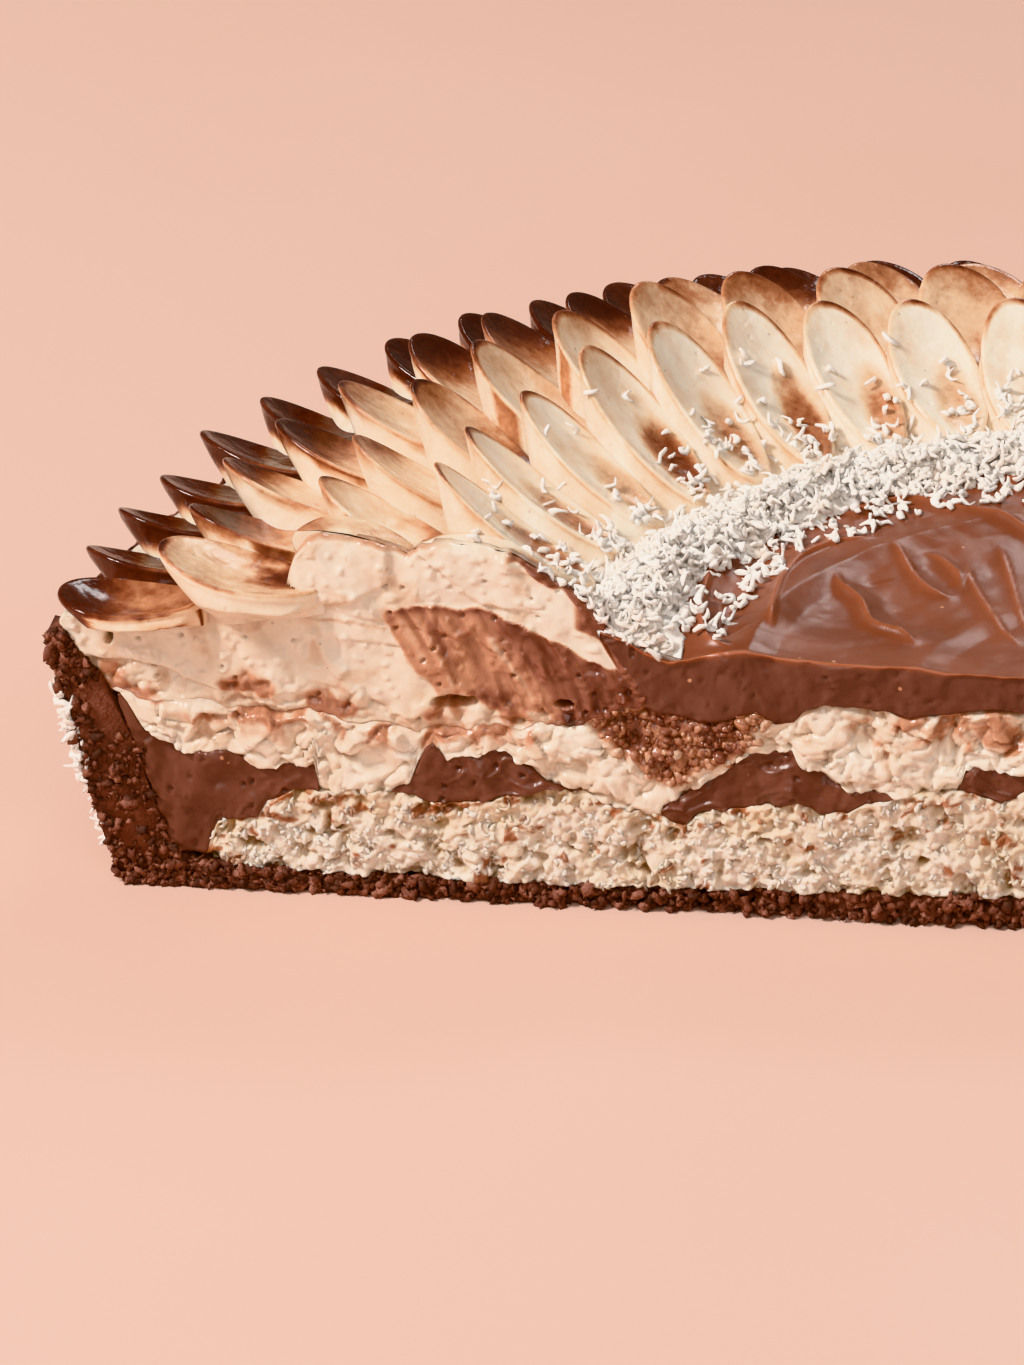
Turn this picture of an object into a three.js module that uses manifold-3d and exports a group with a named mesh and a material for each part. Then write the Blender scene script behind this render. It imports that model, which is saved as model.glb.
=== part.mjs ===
// Half of a round chocolate and coconut tart, cut through the middle so that its layers show at the cut.
// Millimetres, Z up. While the pieces are made, the axis of the whole round tart is the Z axis, the cut is
// the plane y = 0 and the half that is left lies at y > 0, with angle 0 at the right end of the cut and PI at
// the left end. The last lines move the finished half so that the origin lies under the middle of its
// bounding box.
import * as THREE from "three";
import { mergeVertices } from "three/addons/utils/BufferGeometryUtils.js";
import Module from "manifold-3d";

const wasm = await Module();
wasm.setup();
const { Manifold, Mesh } = wasm;

// ---------------------------------------------------------------- sizes

const GAP = 0.3; // air between pieces that touch
const CRUST_SLICES = 36; // steps round the half circle
const FILLING_SLICES = 12; // a divisor of CRUST_SLICES, so that the filling's corners fall on the crust's
const FREE_RADIUS = 105; // the filling is free to wander inside this radius
const FREE_HEIGHTS = [5, 30]; // and between these heights
const WANDER_OUT = 3.2; // how far it then wanders outwards
const WANDER_UP = 1.2; // and upwards
const DISH_RISE = 3.2; // how much higher the middle ganache stands at the back than at the cut
const RIM_RADIUS = 120;
const RIM_HEIGHT = 33;
const FOOT_RADIUS = 112;
const CRUMB_WEAR = 0.6; // how far the baked wall is worn back
const CRUMB_UNEVEN = 0.7; // and how much more or less in places

// Profiles are lists of [radius, height] from the axis out to the rim.
const CRUST_OUTSIDE = [
  [0, 0], [60, 0], [92, 0], [FOOT_RADIUS - 1.4, 0], [FOOT_RADIUS, 0.8], [113.5, 5], [115, 10.4],
  [116.4, 16], [117.7, 22], [118.9, 28], [RIM_RADIUS, RIM_HEIGHT],
];
const CRUST_INSIDE = [
  [0, 4], [60, 2.4], [92, 2.5], [101, 3], [104.4, 3.6], [106, 6], [107.3, 10],
  [108.6, 14.5], [110.3, 19], [114.3, 26.4], [118.2, RIM_HEIGHT + 0.2],
];

// The filling at each radius out to the pool against the wall: top of the cake, top of the ganache poured on
// it (or no ganache, where a pool ends or there is none) and top of the lumpy cream over both.
const FILLING = [
  { radius: 0, cake: 15.1, pool: 18.2, lumps: 27 },
  { radius: 7, cake: 15.2, pool: 18.7, lumps: 27 },
  { radius: 12, cake: 15.4, pool: 19.3, lumps: 26.8 },
  { radius: 15.4, cake: 16.4, pool: null, lumps: 26.5 },
  { radius: 22.5, cake: 15.4, pool: null, lumps: 25.9 },
  { radius: 29, cake: 13.7, pool: 17.1, lumps: 25.4 },
  { radius: 35.5, cake: 12.2, pool: 21.6, lumps: 25 },
  { radius: 43, cake: 10.8, pool: 17.4, lumps: 24.9 },
  { radius: 49.3, cake: 12.5, pool: null, lumps: 25.1 },
  { radius: 59.5, cake: 13.1, pool: null, lumps: 22.6 },
  { radius: 64, cake: 11.7, pool: 17.2, lumps: 21.2 },
  { radius: 70, cake: 11, pool: 18.8, lumps: 20.3 },
  { radius: 75.5, cake: 11.4, pool: 18.9, lumps: 20 },
  { radius: 79.8, cake: 12.6, pool: null, lumps: 20.1 },
  { radius: 87.5, cake: 12.5, pool: null, lumps: 20.9 },
];
const POOLS = {
  ganache_pool_middle: [0, 3],
  ganache_pool_inner: [4, 8],
  ganache_pool_outer: [9, 13],
};

// From there to the wall: the shoulder of the cake, the ganache that runs down between cake and wall, and the
// cream over it.
const CAKE_SHOULDER = [[91.5, 11.8], [96.8, 8.2], [101.2, 3.9]];
const WALL_POOL_UNDER = [
  [91.5, 12.1], [97, 8.5], [101.6, 4.2], [104.2, 4.1], [105.6, 6.6], [107, 11], [108.2, 15], [110, 20],
];
const WALL_POOL_OVER = [
  [91.5, 15.7], [96.5, 17.2], [100.5, 16.7], [103.5, 17], [105.8, 17.9], [107.4, 19.2], [109, 21],
  [111.2, 22.3],
];
const WALL_LUMPS = [
  [91.5, 21.6], [96.5, 22.2], [100.5, 22.8], [103.5, 23.1], [105.8, 23.3], [107.4, 23.5], [109, 23.7],
  [112, 24],
];

const GANACHE_TOP = [30.9, 31.6, 30.8, 31.4, 31, 31.7, 31.9, 32.5, 33.5];
const GANACHE_EDGE = { under: 49.85, over: [55.3, 34.2] };

const CREAM_EDGE = 50.4; // where the smooth cream begins, under the edge of the ganache
const CREAM_TOP = [
  [56.3, 35.2], [60, 36.4], [64, 37], [70, 37.4], [75.5, 37.5], [80, 37.4], [85, 36.9], [89.5, 36.3],
  [94, 35.7], [98.5, 35.1], [102.5, 34.5], [106.5, 34.1], [110, 33.7], [114, 33.3], [117.6, 32.7],
];

const COCONUT_UNDER = [[45, 33.2], [49.3, 33.9], [55.3, 34.8], [57.3, 36.2]];
const COCONUT_TOP = [[45.4, 34.4], [48.6, 37], [53.6, 38], [57.3, 37]];
const HEAP_SHREDS = 48; // coarse shreds that stand out of the coconut ring
const WALL_SHREDS = 22; // shreds stuck to the outside of the crust

// Four rows of piped petals, from the rim in: how many, the angle of the one at the left end of the cut and
// the angle from one to the next. tip, root and tail are radii along a petal. In heights, outer is the raised
// outer end, lift what the petals near the left end of the cut stand above the others, swell what the petals
// halfway to the back do, and first the outer end of the petal at the cut. The two inner rows are cut through.
const PETAL_ROWS = [
  {
    count: 33, first: 179.3, pitch: 5.55, cut: false,
    tip: 118.3, root: 112.6, tail: 100.6, heights: { outer: 37.2, lift: 0, swell: 2, first: 36.6 },
  },
  {
    count: 26, first: 179, pitch: 7, cut: false,
    tip: 106.5, root: 98.8, tail: 86.9, heights: { outer: 41.8, lift: 0, swell: 3, first: 42.6 },
  },
  {
    count: 22, first: 179.25, pitch: 8.25, cut: true,
    tip: 91.2, root: 85.4, tail: 74.6, heights: { outer: 46.5, lift: 0, swell: 3.8, first: 44.3 },
  },
  {
    count: 21, first: 179.7, pitch: 8.7, cut: true,
    tip: 77.4, root: 73.2, tail: 57.8, heights: { outer: 48, lift: 2, swell: 4, first: 43.6 },
  },
];
const PETAL_CORNERS = 10;
const PETAL_SAG = 0.9; // how far a face hangs between tip and tail
const PETAL_DISH = 1.1; // how much deeper the spoon pressed its middle
const PETAL_JOIN = 1; // how far each foot reaches over the middle between two petals
const TAIL_THICKNESS = 0.9;
const TIP_UNEVEN = 1.2; // spread of the tips in height and in reach
const MOST_TURN = 4.5; // degrees a petal is swung to either side
const ROLLS = [9, 17]; // degrees a petal's left edge is lifted, least and most
const MORE_ROLL = 9; // degrees more for the petals left of the back

// ---------------------------------------------------------------- numbers

const mix = (a, b, t) => a + (b - a) * t;
const clamp = (v, low, high) => Math.min(high, Math.max(low, v));

function smooth(v, low, high) {
  const t = clamp((v - low) / (high - low), 0, 1);
  return t * t * (3 - 2 * t);
}

// A run of repeatable random numbers from 0 to 1.
function seeded(seed) {
  let state = seed;
  return () => {
    state = (state * 1664525 + 1013904223) % 4294967296;
    return state / 4294967296;
  };
}

// A fixed random number from 0 to 1 for each corner of a lattice.
function latticeValue(i, j, k) {
  const wave = Math.sin(i * 127.1 + j * 311.7 + k * 74.7) * 43758.5453;
  return wave - Math.floor(wave);
}

// Smooth noise from -1 to 1 at a point, with bumps about `size` across.
function noise(point, size) {
  const cell = point.map((v) => Math.floor(v / size));
  const within = point.map((v, n) => smooth(v / size - cell[n], 0, 1));
  let sum = 0;
  for (let corner = 0; corner < 8; corner++) {
    const step = [corner & 1, (corner >> 1) & 1, (corner >> 2) & 1];
    const weight = step.reduce((w, s, n) => w * (s ? within[n] : 1 - within[n]), 1);
    sum += weight * latticeValue(...step.map((s, n) => s + cell[n]));
  }
  return 2 * sum - 1;
}

// Height at a radius on a profile of [radius, height] points.
function heightAt(profile, radius) {
  const n = clamp(profile.findIndex(([r]) => r > radius), 1, profile.length - 1);
  const [[r0, z0], [r1, z1]] = [profile[n - 1], profile[n]];
  return mix(z0, z1, clamp((radius - r0) / (r1 - r0), 0, 1));
}

const raised = (profile, by) => profile.map(([r, z]) => [r, z + by]);

// ---------------------------------------------------------------- solids

// A closed solid from points and faces of three or four corners. Points that fall together are merged, and
// the faces that this leaves without an area are dropped.
function solid(points, faces) {
  const index = faces.flatMap(([a, b, c, d]) => (d === undefined ? [a, b, c] : [a, b, c, a, c, d]));
  const geometry = new THREE.BufferGeometry()
    .setAttribute("position", new THREE.Float32BufferAttribute(points.flat(), 3))
    .setIndex(index);
  const merged = mergeVertices(geometry, 1e-3);
  const kept = [];
  for (let n = 0; n < merged.index.count; n += 3) {
    const [a, b, c] = merged.index.array.slice(n, n + 3);
    if (a !== b && b !== c && c !== a) kept.push(a, b, c);
  }
  return new Manifold(
    new Mesh({
      numProp: 3,
      vertProperties: merged.attributes.position.array,
      triVerts: Uint32Array.from(kept),
    }),
  );
}

// A closed skin from a top point through rings of equal length down to a bottom point. The rings run
// counter-clockwise seen from above.
function loft(top, rings, bottom) {
  const points = [top, ...rings.flat(), bottom];
  const size = rings[0].length;
  const lowest = 1 + (rings.length - 1) * size;
  const faces = [];
  for (let n = 0; n < size; n++) {
    const next = (n + 1) % size;
    faces.push([0, 1 + n, 1 + next]);
    faces.push([points.length - 1, lowest + next, lowest + n]);
    for (let a = 1; a < lowest; a += size) faces.push([a + n, a + size + n, a + size + next, a + next]);
  }
  return solid(points, faces);
}

// One layer: the band between two profiles of equal length, taken round the half circle in slices and split
// into rows from the lower profile to the upper. `place` turns radius, height, angle and share of the way up
// into a point. The faces at the cut are torn into the layer by up to `rough`.
function layer({ under, over, slices = FILLING_SLICES, rows, rough = 0, place = settle }) {
  const points = [];
  for (let k = 0; k <= slices; k++) {
    const angle = (Math.PI * k) / slices;
    under.forEach(([lowRadius, lowHeight], i) => {
      for (let j = 0; j <= rows; j++) {
        const share = j / rows;
        const radius = mix(lowRadius, over[i][0], share);
        const [x, y, z] = place(radius, mix(lowHeight, over[i][1], share), angle, share);
        const depth = k % slices === 0 ? rough * smooth(radius, 0, 25) : 0;
        points.push([x, y + depth * (0.5 + 0.5 * noise([x, 5, z], 2.6)), z]);
      }
    });
  }
  const last = under.length - 1;
  const at = (i, j, k) => (k * (last + 1) + i) * (rows + 1) + j;
  const faces = [];
  for (let i = 0; i < last; i++) {
    for (let k = 0; k < slices; k++) {
      faces.push([at(i, rows, k), at(i + 1, rows, k), at(i + 1, rows, k + 1), at(i, rows, k + 1)]);
      faces.push([at(i, 0, k), at(i, 0, k + 1), at(i + 1, 0, k + 1), at(i + 1, 0, k)]);
    }
    for (let j = 0; j < rows; j++) {
      faces.push([at(i, j, 0), at(i + 1, j, 0), at(i + 1, j + 1, 0), at(i, j + 1, 0)]);
      faces.push([at(i, j, slices), at(i, j + 1, slices), at(i + 1, j + 1, slices), at(i + 1, j, slices)]);
    }
  }
  for (let j = 0; j < rows; j++) {
    for (let k = 0; k < slices; k++) {
      faces.push([at(last, j, k), at(last, j, k + 1), at(last, j + 1, k + 1), at(last, j + 1, k)]);
      if (under[0][0] > 0) faces.push([at(0, j, k), at(0, j + 1, k), at(0, j + 1, k + 1), at(0, j, k + 1)]);
    }
  }
  return solid(points, faces);
}

// ---------------------------------------------------------------- where the points of a layer go

// The filling was spread by hand, so towards the right end of the cut it wanders in and out, up and down.
// Touching layers wander together.
function settle(radius, height, angle) {
  const side = 1 - angle / Math.PI;
  const acrossWidth = Math.sin(Math.PI * clamp(radius / FREE_RADIUS, 0, 1));
  const [bottom, top] = FREE_HEIGHTS;
  const acrossHeight = Math.sin(Math.PI * clamp((height - bottom) / (top - bottom), 0, 1));
  const freedom = side * acrossWidth * acrossHeight;
  const r = radius + WANDER_OUT * freedom * Math.sin(radius / 10);
  const z = height + WANDER_UP * freedom * Math.sin(radius / 9 + 2 * angle + 1);
  return [r * Math.cos(angle), r * Math.sin(angle), z];
}

// The middle ganache and the coconut round it stand higher at the back.
function dish(radius, height, angle) {
  const edge = smooth(radius, 16, 47) * (1 - smooth(radius, 52, 57.3));
  return settle(radius, height + DISH_RISE * Math.sin(angle) * edge * smooth(height, 26.5, 30.5), angle);
}

// Crumbs: the outside of the baked wall is worn back unevenly. At the cut itself the outline stays as given.
function bake(radius, height, angle, share) {
  const wear = smooth(radius, 100, 108) * clamp(6 * Math.sin(angle), 0, 1) * (1 - share);
  const around = [radius * Math.cos(angle), radius * Math.sin(angle), height];
  const r = radius - wear * (CRUMB_WEAR + CRUMB_UNEVEN * noise(around, 3.1));
  const z = height + wear * smooth(height, 2, 8) * 0.4 * noise(around.toReversed(), 4.3);
  return [r * Math.cos(angle), r * Math.sin(angle), z];
}

// ---------------------------------------------------------------- petals

// One petal of piped cream: an oval face, dished by the spoon, from its raised tip down to its tail, on a
// body that narrows to a foot on the cream. `turn` swings it sideways, `roll` lifts its left edge.
function petal({ tip, root, tail, pitch, tipHeight, angle, turn, roll }) {
  const halfPitch = Math.tan(THREE.MathUtils.degToRad(pitch) / 2);
  const sole = (radius) => heightAt(CREAM_TOP, radius) + 2 * GAP;
  const tailHeight = sole(tail) + TAIL_THICKNESS;
  const middle = (tip + tail) / 2;
  const footMiddle = (root + tail) / 2;
  const place = (radius, across, height) => {
    const r = middle + (radius - middle) * Math.cos(turn) - across * Math.sin(turn);
    const t = (radius - middle) * Math.sin(turn) + across * Math.cos(turn);
    return [r * Math.cos(angle) - t * Math.sin(angle), r * Math.sin(angle) + t * Math.cos(angle), height];
  };
  const rim = [];
  const foot = [];
  for (let n = 0; n < PETAL_CORNERS; n++) {
    const way = (2 * Math.PI * n) / PETAL_CORNERS;
    const along = (1 - Math.cos(way)) / 2;
    const spread = Math.sin(way) * (1 + 0.2 * Math.cos(way));
    const across = halfPitch * mix(tip, tail, 0.35) * spread;
    const hang = PETAL_SAG * Math.sin(Math.PI * along);
    const height = mix(tipHeight, tailHeight, along) - hang + across * Math.tan(roll) * (1 - 0.6 * along);
    rim.push(place(mix(tip, tail, along), across, height));
    const footRadius = mix(root, tail, along);
    foot.push(place(footRadius, (halfPitch * footMiddle + PETAL_JOIN) * spread, sole(footRadius)));
  }
  const face = place(middle, 0, (tipHeight + tailHeight) / 2 - PETAL_SAG - PETAL_DISH);
  return loft(face, [rim, foot], place(footMiddle, 0, sole(footMiddle)));
}

// A row of petals, no two quite alike, joined where their feet run into each other.
function petalRow(row, number) {
  const random = seeded(91 + number);
  const { outer, lift, swell, first } = row.heights;
  const petals = Array.from({ length: row.count }, (_, n) => {
    const degrees = row.first - n * row.pitch;
    const hill = smooth(degrees, 105, 135) * (1 - smooth(degrees, 142, 166));
    const raised = outer + lift * smooth(degrees, 155, 172) + swell * hill;
    const leaning = MORE_ROLL * smooth(degrees, 85, 135);
    return petal({
      ...row,
      tipHeight: n === 0 ? first : raised + TIP_UNEVEN * (random() - 0.5),
      tip: row.tip + TIP_UNEVEN * (random() - 0.5),
      angle: THREE.MathUtils.degToRad(degrees),
      turn: THREE.MathUtils.degToRad(MOST_TURN * (2 * random() - 1)),
      roll: THREE.MathUtils.degToRad(n === 0 ? 0 : mix(...ROLLS, random()) + leaning),
    });
  });
  const whole = Manifold.union(petals);
  return row.cut ? whole.trimByPlane([0, 1, 0], 0) : whole;
}

// ---------------------------------------------------------------- coconut

// A coarse shred: a long eight-sided grain turned at random, with its middle at `point`.
function shred(point, random) {
  const grain = new THREE.OctahedronGeometry(1);
  grain.scale(mix(1.6, 2.4, random()), mix(0.6, 0.9, random()), mix(0.5, 0.75, random()));
  grain.rotateZ(Math.PI * random());
  grain.rotateY(1.6 * (random() - 0.5));
  grain.rotateX(1.6 * (random() - 0.5));
  grain.translate(...point);
  const corner = new THREE.Vector3();
  const points = [];
  const faces = [];
  for (let n = 0; n < grain.attributes.position.count; n++) {
    points.push(corner.fromBufferAttribute(grain.attributes.position, n).toArray());
    if (n % 3 === 0) faces.push([n, n + 1, n + 2]);
  }
  return solid(points, faces);
}

// Shreds at random places, one in each equal step of the half circle.
function shredsAround(count, seed, placeOne) {
  const random = seeded(seed);
  return Array.from({ length: count }, (_, n) => {
    const angle = Math.PI * mix(0.02, 0.98, (n + random()) / count);
    return shred(placeOne(angle, random()), random);
  });
}

const heapShreds = shredsAround(HEAP_SHREDS, 7, (angle, chance) => {
  const radius = mix(46.6, 55.2, chance);
  return dish(radius, heightAt(COCONUT_TOP, radius) - 0.1, angle);
});

const wallShreds = shredsAround(WALL_SHREDS, 21, (angle, chance) => {
  const height = mix(5, 24, chance);
  const wall = CRUST_OUTSIDE.slice(4).map(([r, z]) => [z, r]);
  return bake(heightAt(wall, height) + 0.2, height, angle, 0);
});

// ---------------------------------------------------------------- the layers

const floorUnder = ([radius]) => [radius, heightAt(CRUST_INSIDE, radius) + GAP];
const cakeTop = [...FILLING.map(({ radius, cake }) => [radius, cake]), ...CAKE_SHOULDER];
const poolTop = FILLING.map(({ radius, cake, pool }) => [radius, pool ?? cake + GAP]);
const poolUnder = FILLING.map(({ radius, cake }) => [radius, cake + GAP]);
const lumpsTop = [...FILLING.map(({ radius, lumps }) => [radius, lumps]), ...WALL_LUMPS];
const underGanache = lumpsTop.filter(([radius]) => radius < GANACHE_EDGE.under);
const underCream = lumpsTop.filter(([radius]) => radius > CREAM_EDGE);
const tip = poolUnder.at(-1);

const layers = {
  crust: { under: CRUST_OUTSIDE, over: CRUST_INSIDE, slices: CRUST_SLICES, rows: 2, rough: 0.9, place: bake },
  coconut_cake: { under: cakeTop.map(floorUnder), over: cakeTop, rows: 3, rough: 1.5 },
  ganache_pool_wall: {
    under: [tip, ...WALL_POOL_UNDER],
    over: [tip, ...WALL_POOL_OVER],
    rows: 2,
    rough: 0.5,
  },
  cream_lower: { under: raised([...poolTop, ...WALL_POOL_OVER], GAP), over: lumpsTop, rows: 3, rough: 1.4 },
  cream_upper: {
    under: raised([[CREAM_EDGE, heightAt(lumpsTop, CREAM_EDGE)], ...underCream], GAP),
    over: CREAM_TOP,
    rows: 3,
    rough: 0.5,
  },
  ganache_centre: {
    under: raised([...underGanache, [GANACHE_EDGE.under, heightAt(lumpsTop, GANACHE_EDGE.under)]], GAP),
    over: [...underGanache.map(([radius], n) => [radius, GANACHE_TOP[n]]), GANACHE_EDGE.over],
    rows: 2,
    rough: 0.4,
    place: dish,
  },
  coconut_ring: { under: COCONUT_UNDER, over: COCONUT_TOP, rows: 1, place: dish },
};
for (const [name, [from, to]] of Object.entries(POOLS)) {
  const [under, over] = [poolUnder, poolTop].map((profile) => profile.slice(from, to + 1));
  layers[name] = { under, over, rows: 2, rough: 0.5 };
}

const bodies = {};
for (const [name, shape] of Object.entries(layers)) bodies[name] = layer(shape);
bodies.crust = Manifold.union([bodies.crust, ...wallShreds]);
bodies.coconut_ring = Manifold.union([bodies.coconut_ring, ...heapShreds]);
PETAL_ROWS.forEach((row, n) => {
  bodies["petal_row_" + (n + 1)] = petalRow(row, n);
});

// ---------------------------------------------------------------- the finished half

const FINISHES = {
  crust: { color: 0x4a2516, roughness: 0.95 },
  coconut_cake: { color: 0xe9dca8, roughness: 0.9 },
  ganache: { color: 0x6e4130, roughness: 0.4 },
  cream_lower: { color: 0xe2bf97, roughness: 0.6 },
  cream_upper: { color: 0xe8c9a4, roughness: 0.5 },
  petal_row: { color: 0xf0dcb8, roughness: 0.45 },
  coconut_ring: { color: 0xf6f0e6, roughness: 0.8 },
};

const tart = new THREE.Group();
for (const [name, body] of Object.entries(bodies)) {
  const { vertProperties, triVerts } = body.simplify(0.03).getMesh();
  const geometry = new THREE.BufferGeometry()
    .setAttribute("position", new THREE.BufferAttribute(vertProperties, 3))
    .setIndex(new THREE.BufferAttribute(triVerts, 1));
  const finish = Object.keys(FINISHES).find((key) => name.startsWith(key));
  const mesh = new THREE.Mesh(geometry, new THREE.MeshStandardMaterial(FINISHES[finish]));
  mesh.name = name;
  tart.add(mesh);
}

const box = new THREE.Box3().setFromObject(tart);
const centre = box.getCenter(new THREE.Vector3());
tart.position.set(-centre.x, -centre.y, -box.min.z);

export default tart;
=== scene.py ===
# %% [markdown]
# # Half of a chocolate and coconut tart
# The solids of the tart are loaded first. They give its size and what lies on what. Every solid is then
# replaced by a finer surface of the same form, worked out in millimetres with the axis of the whole tart at
# x = y = 0 and the cut in the plane y = 0, because that is how a baker would measure it.

# %% Load the solids and note their box
import math

import bpy
import numpy as np
from mathutils import Matrix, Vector
from mathutils.bvhtree import BVHTree


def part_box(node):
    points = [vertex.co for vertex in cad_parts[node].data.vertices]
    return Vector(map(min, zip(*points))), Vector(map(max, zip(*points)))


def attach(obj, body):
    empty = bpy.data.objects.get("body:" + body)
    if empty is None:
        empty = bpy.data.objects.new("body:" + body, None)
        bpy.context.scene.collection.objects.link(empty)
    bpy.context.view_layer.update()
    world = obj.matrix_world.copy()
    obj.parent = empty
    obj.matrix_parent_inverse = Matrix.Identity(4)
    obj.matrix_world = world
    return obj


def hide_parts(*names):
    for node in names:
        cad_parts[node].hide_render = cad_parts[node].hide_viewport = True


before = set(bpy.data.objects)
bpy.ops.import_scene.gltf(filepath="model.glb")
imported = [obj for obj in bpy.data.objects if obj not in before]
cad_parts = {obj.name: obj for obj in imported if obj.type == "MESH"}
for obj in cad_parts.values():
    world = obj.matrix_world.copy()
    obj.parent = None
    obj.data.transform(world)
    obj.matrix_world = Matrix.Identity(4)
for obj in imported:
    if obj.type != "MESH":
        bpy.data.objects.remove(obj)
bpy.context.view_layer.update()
crust_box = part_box("crust")
axis_x = (crust_box[0][0] + crust_box[1][0]) / 2
cut_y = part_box("petal_row_4")[0][1]
print("axis at x", round(axis_x * 1000, 2), "mm, cut at y", round(cut_y * 1000, 2), "mm")

# %% [markdown]
# ## Numbers that look like food
# Crumb, curds and smears are uneven in a way that can be written down. Two patterns do most of the work: a
# soft noise for things that were spread, and a pattern of cells for things that are made of grains.

# %% Smooth steps and noise
def smooth(value, low, high):
    """3t² − 2t³, where t is how far the value is on its way from low to high, kept between 0 and 1."""
    t = np.clip((value - low) / (high - low), 0, 1)
    return t * t * (3 - 2 * t)


def mix(a, b, share):
    """a + (b − a) · share."""
    return a + (b - a) * share


def stacked(*parts):
    """The parts side by side in a new last direction, after all are brought to one shape."""
    return np.stack(np.broadcast_arrays(*parts), -1)


def draw(i, j, k=0, seed=0):
    """A fixed number from 0 to 1 for each corner of a lattice: what follows the point in 43758.5453 ·
    sin(127.1 i + 311.7 j + 74.7 k + 19.3 seed)."""
    wave = np.sin(i * 127.1 + j * 311.7 + k * 74.7 + seed * 19.3) * 43758.5453
    return wave - np.floor(wave)


def bumps(points, size, seed=0):
    """Noise from −1 to 1: draws at the corners of a lattice of that size, with smooth steps in between."""
    cell = np.floor(points / size)
    within = smooth(points / size - cell, 0, 1)
    total = 0
    for corner in range(2 ** points.shape[-1]):
        step = np.array([corner >> n & 1 for n in range(points.shape[-1])])
        weight = np.where(step, within, 1 - within).prod(axis=-1)
        total = total + weight * draw(*np.moveaxis(cell + step, -1, 0), seed=seed)
    return 2 * total - 1


def rough(points, size, octaves=3, seed=0):
    """Noise of several sizes: bumps(size) + bumps(size / 2) / 2 + bumps(size / 4) / 4 and so on."""
    return sum(bumps(points, size / 2 ** n, seed + n) / 2 ** n for n in range(octaves))


def grains(points, size, seed=0):
    """Cells round scattered middles in the plane, one in each square of that size: the distance to the
    nearest middle, what the second nearest is further away, both in sizes, and a draw for the nearest."""
    cell = np.floor(points / size)
    near = np.full(points.shape[:-1], 9.0)
    second = near.copy()
    chance = np.zeros_like(near)
    for di in (-1, 0, 1):
        for dj in (-1, 0, 1):
            i, j = cell[..., 0] + di, cell[..., 1] + dj
            du = points[..., 0] / size - i - draw(i, j, 1, seed)
            dv = points[..., 1] / size - j - draw(i, j, 2, seed)
            far = np.hypot(du, dv)
            second = np.minimum(second, np.maximum(near, far))
            chance = np.where(far < near, draw(i, j, 3, seed), chance)
            near = np.minimum(near, far)
    return near, second - near, chance


# %% [markdown]
# ## Closed skins
# Every piece is a closed skin: rings of points, one after another, with both ends filled. A petal's rings run
# from the middle of its face over the rim down to its foot, a layer's rings follow the cut or go round the
# tart. Fields are numbers kept at the points, such as how much cocoa is in the cream there.

# %% Rings to skins
def quads_between(count, size):
    """The corner numbers of the quads between each of count rings of that size and the next."""
    ring = np.arange(size)
    start = np.arange(count - 1)[:, None] * size
    after = (ring + 1) % size
    return stacked(start + ring, start + size + ring, start + size + after, start + after).reshape(-1, 4)


def facing_out(points, quads, tris):
    """The faces, all turned where the signed volume, Σ a · (b × c) / 6, is negative."""
    corners = np.vstack([quads[:, [0, 1, 2]], quads[:, [0, 2, 3]], tris])
    a, b, c = (points[corners[:, n]] for n in range(3))
    way = -1 if (a * np.cross(b, c)).sum() < 0 else 1
    return quads[:, ::way], tris[:, ::way]


def skin(rings, fields=None, ladder=False):
    """Quads between each ring and the next. The ends are fans to the ring's mean, or with ladder rungs from
    point i to point −1 − i."""
    count, size, _ = rings.shape
    quads = quads_between(count, size)
    last = (count - 1) * size
    points = rings.reshape(-1, 3)
    fields = {name: values.reshape(-1) for name, values in (fields or {}).items()}
    tris = np.zeros((0, 3), int)
    if ladder:
        rung = np.arange(size // 2 - 1)
        end = stacked(rung, rung + 1, size - 2 - rung, size - 1 - rung)
        quads = np.vstack([quads, end, last + end[:, ::-1]])
    else:
        ring, pole = np.arange(size), len(points)
        after = (ring + 1) % size
        points = np.vstack([points, rings[0].mean(0), rings[-1].mean(0)])
        fields = {name: np.append(v, [v[:size].mean(), v[-size:].mean()]) for name, v in fields.items()}
        tris = np.vstack([stacked(pole, ring, after), stacked(pole + 1, last + after, last + ring)])
    quads, tris = facing_out(points, quads, tris)
    return {"points": points, "quads": quads, "tris": tris, "fields": fields}


def together(skins):
    """Several skins as one: the points one after another, the corner numbers raised to match."""
    starts = np.cumsum([0] + [len(s["points"]) for s in skins[:-1]])
    return {
        "points": np.vstack([s["points"] for s in skins]),
        "quads": np.vstack([s["quads"] + n for s, n in zip(skins, starts)]),
        "tris": np.vstack([s["tris"] + n for s, n in zip(skins, starts)]),
        "fields": {
            name: np.concatenate([s["fields"].get(name, np.zeros(len(s["points"]))) for s in skins])
            for name in {name for s in skins for name in s["fields"]}
        },
    }


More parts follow.
